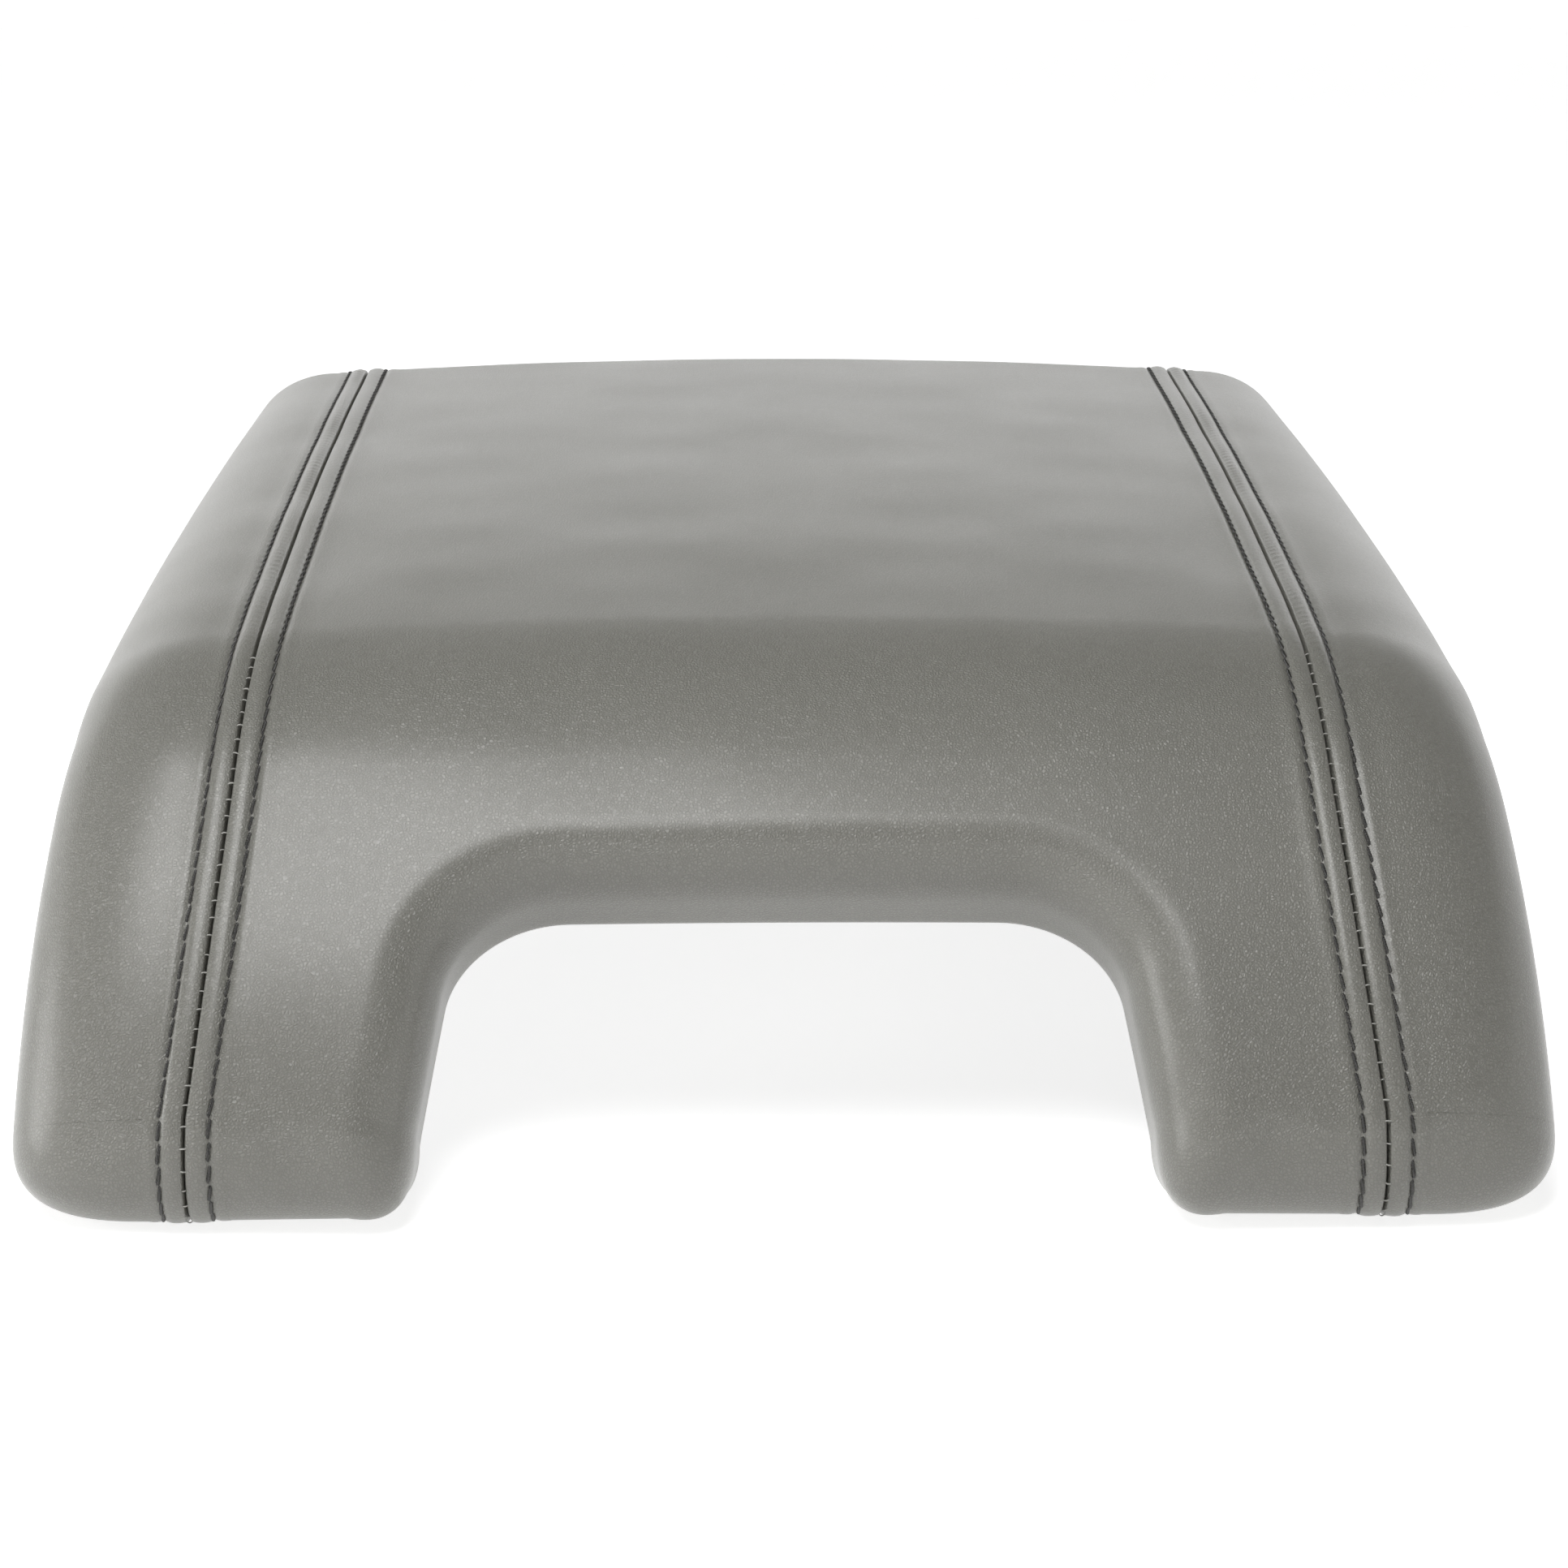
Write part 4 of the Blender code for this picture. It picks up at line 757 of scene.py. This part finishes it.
class Nodes:
    """Shorthand for building a material from shader nodes."""

    def __init__(self, name, roughness, metallic=0.0):
        self.material = bpy.data.materials.new(name)
        self.material.use_nodes = True
        self.tree = self.material.node_tree
        self.shader = self.tree.nodes["Principled BSDF"]
        self.shader.inputs["Roughness"].default_value = roughness
        self.shader.inputs["Metallic"].default_value = metallic
        self.place = self.tree.nodes.new("ShaderNodeTexCoord").outputs["Object"]

    def link(self, value, socket):
        """Links a socket's output, or sets a constant."""
        if isinstance(value, bpy.types.NodeSocket):
            self.tree.links.new(value, socket)
        elif isinstance(value, tuple) and len(value) == 3 and socket.type == "RGBA":
            socket.default_value = (*value, 1.0)
        else:
            socket.default_value = value

    def stretched(self, scale):
        """Object coordinates scaled along each axis."""
        node = self.tree.nodes.new("ShaderNodeMapping")
        node.inputs["Scale"].default_value = scale
        self.link(self.place, node.inputs["Vector"])
        return node.outputs["Vector"]

    def noise(self, scale, detail=2.0, place=None):
        node = self.tree.nodes.new("ShaderNodeTexNoise")
        node.inputs["Scale"].default_value = scale
        node.inputs["Detail"].default_value = detail
        self.link(place or self.place, node.inputs["Vector"])
        return node.outputs["Fac"]

    def cells(self, scale, feature, place=None):
        node = self.tree.nodes.new("ShaderNodeTexVoronoi")
        node.feature = feature
        node.inputs["Scale"].default_value = scale
        self.link(place or self.place, node.inputs["Vector"])
        return node.outputs["Distance"]

    def remap(self, value, low, high, to_low=0.0, to_high=1.0):
        node = self.tree.nodes.new("ShaderNodeMapRange")
        self.link(value, node.inputs["Value"])
        for socket, number in zip(node.inputs[1:5], (low, high, to_low, to_high)):
            socket.default_value = number
        return node.outputs["Result"]

    def math(self, operation, first, second):
        node = self.tree.nodes.new("ShaderNodeMath")
        node.operation = operation
        self.link(first, node.inputs[0])
        self.link(second, node.inputs[1])
        return node.outputs[0]

    def mix(self, share, first, second):
        node = self.tree.nodes.new("ShaderNodeMix")
        node.data_type = "RGBA"
        self.link(share, node.inputs[0])
        self.link(first, node.inputs[6])
        self.link(second, node.inputs[7])
        return node.outputs[2]

    def bump(self, height, strength, distance):
        node = self.tree.nodes.new("ShaderNodeBump")
        node.inputs["Strength"].default_value = strength
        node.inputs["Distance"].default_value = distance
        self.link(height, node.inputs["Height"])
        self.link(node.outputs["Normal"], self.shader.inputs["Normal"])

    def set(self, name, value):
        """Sets or links a socket of the surface shader."""
        self.link(value, self.shader.inputs[name])


def leather_material():
    """Fine-grained mid-grey leather with a satin finish."""
    make = Nodes("leather_grey", 0.4)
    make.set("Coat Weight", 0.8)
    make.set("Coat Roughness", 0.3)
    warped = make.tree.nodes.new("ShaderNodeVectorMath")
    warped.operation = "MULTIPLY_ADD"
    wobble = make.tree.nodes.new("ShaderNodeTexNoise")
    wobble.inputs["Scale"].default_value = WARP_SCALE
    make.link(make.place, wobble.inputs["Vector"])
    make.link(wobble.outputs["Color"], warped.inputs[0])
    warped.inputs[1].default_value = (WARP, WARP, WARP)
    make.link(make.place, warped.inputs[2])
    place = warped.outputs["Vector"]
    pebbles = make.remap(make.cells(PEBBLE_SCALE, "DISTANCE_TO_EDGE", place), 0.0, 0.34)
    pores = make.noise(PORE_SCALE, 1.0, place)
    broad = make.noise(BROAD_SCALE, 3.0)
    height = make.math("ADD", pebbles, make.math("MULTIPLY", pores, PORE_SHARE))
    height = make.math("ADD", height, make.math("MULTIPLY", broad, BROAD_SHARE))
    make.bump(height, GRAIN_STRENGTH, GRAIN_DEPTH)
    cloud = make.remap(make.noise(11.0, 4.0), 0.3, 0.7)
    tone = make.mix(cloud, LEATHER_DARK, LEATHER_LIGHT)
    # Painted shade: the valleys between the pebbles are darkened towards the valley colour
    valley_shade = make.math("MULTIPLY", make.remap(pebbles, 0.7, 0.0), VALLEY_SHADE_SHARE)
    tone = make.mix(valley_shade, tone, LEATHER_VALLEY_SHADE)
    speck_cells = make.tree.nodes.new("ShaderNodeTexVoronoi")
    speck_cells.inputs["Scale"].default_value = SPECK_SCALE
    make.link(make.place, speck_cells.inputs["Vector"])
    size = make.remap(speck_cells.outputs["Color"], 0.86, 1.0, 0.0, 0.028)
    speck = make.math("LESS_THAN", speck_cells.outputs["Distance"], size)
    make.set("Base Color", make.mix(speck, tone, LEATHER_SPECK))
    make.set("Roughness", make.remap(make.noise(38.0, 3.0), 0.3, 0.7, 0.37, 0.43))
    return make.material


def thread_material():
    """Dark, slightly glossy polyester thread."""
    make = Nodes("thread_dark", 0.28)
    make.set("Coat Weight", 0.5)
    make.set("Coat Roughness", 0.15)
    # Lighter patches in the thread's colour: partly uneven tone of the thread, partly painted highlights
    # for glints on its strands
    tone = make.remap(make.noise(1900.0), 0.35, 0.75)
    make.set("Base Color", make.mix(tone, (0.008, 0.008, 0.007), (0.070, 0.066, 0.060)))
    make.bump(make.noise(5200.0, 2.0, make.stretched((1.0, 0.25, 1.0))), 0.4, 0.00008)
    return make.material


def pale_thread_material():
    """Pale sewing thread in the groove."""
    make = Nodes("thread_pale", 0.5)
    make.set("Base Color", make.mix(make.noise(2500.0), (0.40, 0.40, 0.37), (0.60, 0.60, 0.56)))
    make.bump(make.noise(6000.0), 0.3, 0.00005)
    return make.material


def plastic_material(name, dark, light, roughness, grain):
    """Moulded plastic with a fine spark-eroded grain."""
    make = Nodes(name, roughness)
    make.set("Base Color", make.mix(make.remap(make.noise(32.0, 4.0), 0.3, 0.7), dark, light))
    make.bump(make.noise(grain, 3.0), 0.35, 0.00012)
    worn = make.remap(make.noise(85.0, 3.0), 0.3, 0.7, roughness - 0.06, roughness + 0.06)
    make.set("Roughness", worn)
    return make.material


def steel_material(name, dark, light, roughness):
    """Plated steel with faint rolling marks."""
    make = Nodes(name, roughness, 1.0)
    marks = make.noise(260.0, 4.0, make.stretched((1.0, 0.12, 0.12)))
    make.set("Base Color", make.mix(make.remap(make.noise(70.0, 4.0), 0.35, 0.7), dark, light))
    make.set("Roughness", make.remap(marks, 0.3, 0.7, roughness - 0.08, roughness + 0.1))
    make.bump(marks, 0.12, 0.00008)
    return make.material


def foam_material():
    """Open-cell foam."""
    make = Nodes("foam_open", 0.95)
    make.set("Base Color", make.mix(make.noise(300.0, 3.0), (0.52, 0.47, 0.30), (0.66, 0.61, 0.44)))
    make.bump(make.cells(900.0, "F1"), 0.8, 0.0006)
    return make.material


def dress_nodes():
    """Gives each solid that stays in view its material."""
    by_slot = {
        "panel_plastic": plastic_material(
            "panel_plastic_grain", (0.060, 0.059, 0.056), (0.078, 0.077, 0.073), 0.58, 1500.0
        ),
        "carrier_plastic": plastic_material(
            "carrier_plastic_grain", (0.022, 0.022, 0.022), (0.032, 0.032, 0.031), 0.5, 900.0
        ),
        "rubber": plastic_material("rubber_stop", (0.016, 0.016, 0.016), (0.026, 0.026, 0.025), 0.8, 700.0),
        "zinc_steel": steel_material("zinc_plate", (0.50, 0.50, 0.48), (0.66, 0.66, 0.63), 0.34),
        "screw_steel": steel_material("screw_phosphate", (0.045, 0.044, 0.043), (0.085, 0.083, 0.08), 0.46),
    }
    for entry in frame["record"]["subparts"]:
        material = by_slot.get(entry["material_slot"])
        if material is not None:
            data = frame["nodes"][entry["node"]].data
            data.materials.clear()
            data.materials.append(material)


def pale_surface(name, shade, glow):
    """Pale matt surface that the camera and reflections see a little whiter than it is lit."""
    material = bpy.data.materials.new(name)
    material.use_nodes = True
    tree = material.node_tree
    shader = tree.nodes["Principled BSDF"]
    shader.inputs["Base Color"].default_value = (shade, shade, shade, 1.0)
    shader.inputs["Roughness"].default_value = 1.0
    shader.inputs["Specular IOR Level"].default_value = 0.0
    path = tree.nodes.new("ShaderNodeLightPath")
    seen = path.outputs["Is Camera Ray"]
    for ray in ("Is Glossy Ray", "Is Transmission Ray"):
        either = tree.nodes.new("ShaderNodeMath")
        either.operation = "MAXIMUM"
        tree.links.new(seen, either.inputs[0])
        tree.links.new(path.outputs[ray], either.inputs[1])
        seen = either.outputs[0]
    share = tree.nodes.new("ShaderNodeMath")
    share.operation = "MULTIPLY"
    share.inputs[1].default_value = glow
    tree.links.new(seen, share.inputs[0])
    white = tree.nodes.new("ShaderNodeEmission")
    tree.links.new(share.outputs[0], white.inputs["Strength"])
    both = tree.nodes.new("ShaderNodeAddShader")
    tree.links.new(shader.outputs[0], both.inputs[0])
    tree.links.new(white.outputs[0], both.inputs[1])
    tree.links.new(both.outputs[0], tree.nodes["Material Output"].inputs["Surface"])
    return material


def make_stage():
    """Plain white floor and a round white wall."""
    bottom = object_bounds()[0].z
    corners = np.array([(-1, -1), (1, -1), (1, 1), (-1, 1)]) * FLOOR_SIZE
    points = np.column_stack((corners, np.full(4, bottom)))
    floor = mesh_object("floor", points, np.array([(0, 1, 2, 3)]))
    floor.data.materials.append(pale_surface("floor_white", FLOOR_SHADE, FLOOR_GLOW))
    angles = np.radians(np.linspace(0, 360, WALL_SEGMENTS + 1))
    ring = np.stack((np.cos(angles), np.sin(angles)), axis=-1) * WALL_RADIUS
    rows = [np.column_stack((ring, np.full(len(ring), bottom + height))) for height in (0.0, WALL_HEIGHT)]
    index = np.arange(2 * len(ring)).reshape(2, -1)
    quads = np.stack((index[0, :-1], index[0, 1:], index[1, 1:], index[1, :-1]), axis=-1)
    wall = mesh_object("backdrop", np.concatenate(rows), quads)
    wall.data.materials.append(pale_surface("backdrop_white", WALL_SHADE, WALL_GLOW))


def make_world():
    """Even, dim surroundings above the backdrop."""
    world = bpy.data.worlds.new("studio")
    bpy.context.scene.world = world
    world.use_nodes = True
    back = world.node_tree.nodes["Background"]
    back.inputs["Color"].default_value = CEILING_COLOUR
    back.inputs["Strength"].default_value = CEILING_LIGHT


def area_light(name, place, size, power):
    """Rectangular soft light aimed at the lid."""
    data = bpy.data.lights.new(name, "AREA")
    data.shape = "RECTANGLE"
    data.size, data.size_y = size
    data.energy = power
    lamp = bpy.data.objects.new(name, data)
    lamp.location = place
    lamp.rotation_euler = (Vector(LAMP_TARGET) - Vector(place)).to_track_quat("-Z", "Y").to_euler()
    lamp.visible_camera = False
    bpy.context.scene.collection.objects.link(lamp)


def make_lights():
    """A soft light above and in front, and a weaker one low on the left."""
    for name, place, size, power in LAMPS:
        area_light(name, place, size, power)


def make_camera():
    """Camera at the photograph's viewing angle."""
    data = bpy.data.cameras.new("camera")
    data.lens = CAMERA_LENS
    data.sensor_width = SENSOR
    camera = bpy.data.objects.new("camera", data)
    camera.location = CAMERA_PLACE
    camera.rotation_euler = (math.pi / 2 - CAMERA_DOWN, 0.0, -CAMERA_TURN)
    bpy.context.scene.collection.objects.link(camera)
    bpy.context.scene.camera = camera


def add_piece(item, material, nodes=()):
    """Gives a piece its material and ties it to the lid."""
    item.data.materials.append(material)
    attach(item, "lid")
    if nodes:
        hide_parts(*nodes)


def main():
    """Builds and dresses the pieces, then the studio and the camera."""
    leather = leather_material()
    covers = (
        (centre_panel(), "cover_center_panel"),
        (side_panel("leather_right_panel", False), "cover_right_panel"),
        (side_panel("leather_left_panel", True), "cover_left_panel"),
    )
    for item, node in covers:
        add_piece(item, leather, (node,))
    foam = foam_piece()
    add_piece(foam, foam_material(), ("foam_pad",))
    dark = thread_material()
    pale = pale_thread_material()
    for hand, side in ((-1, "left"), (1, "right")):
        for offset, row in ((-STITCH_OFFSET, "inner"), (STITCH_OFFSET, "outer")):
            add_piece(stitch_row(f"stitches_{side}_{row}", offset, hand), dark)
        add_piece(tick_row(f"groove_stitches_{side}", hand), pale)
    dress_nodes()
    make_stage()
    make_world()
    make_lights()
    make_camera()
    bpy.context.scene.view_settings.view_transform = "Standard"


main()
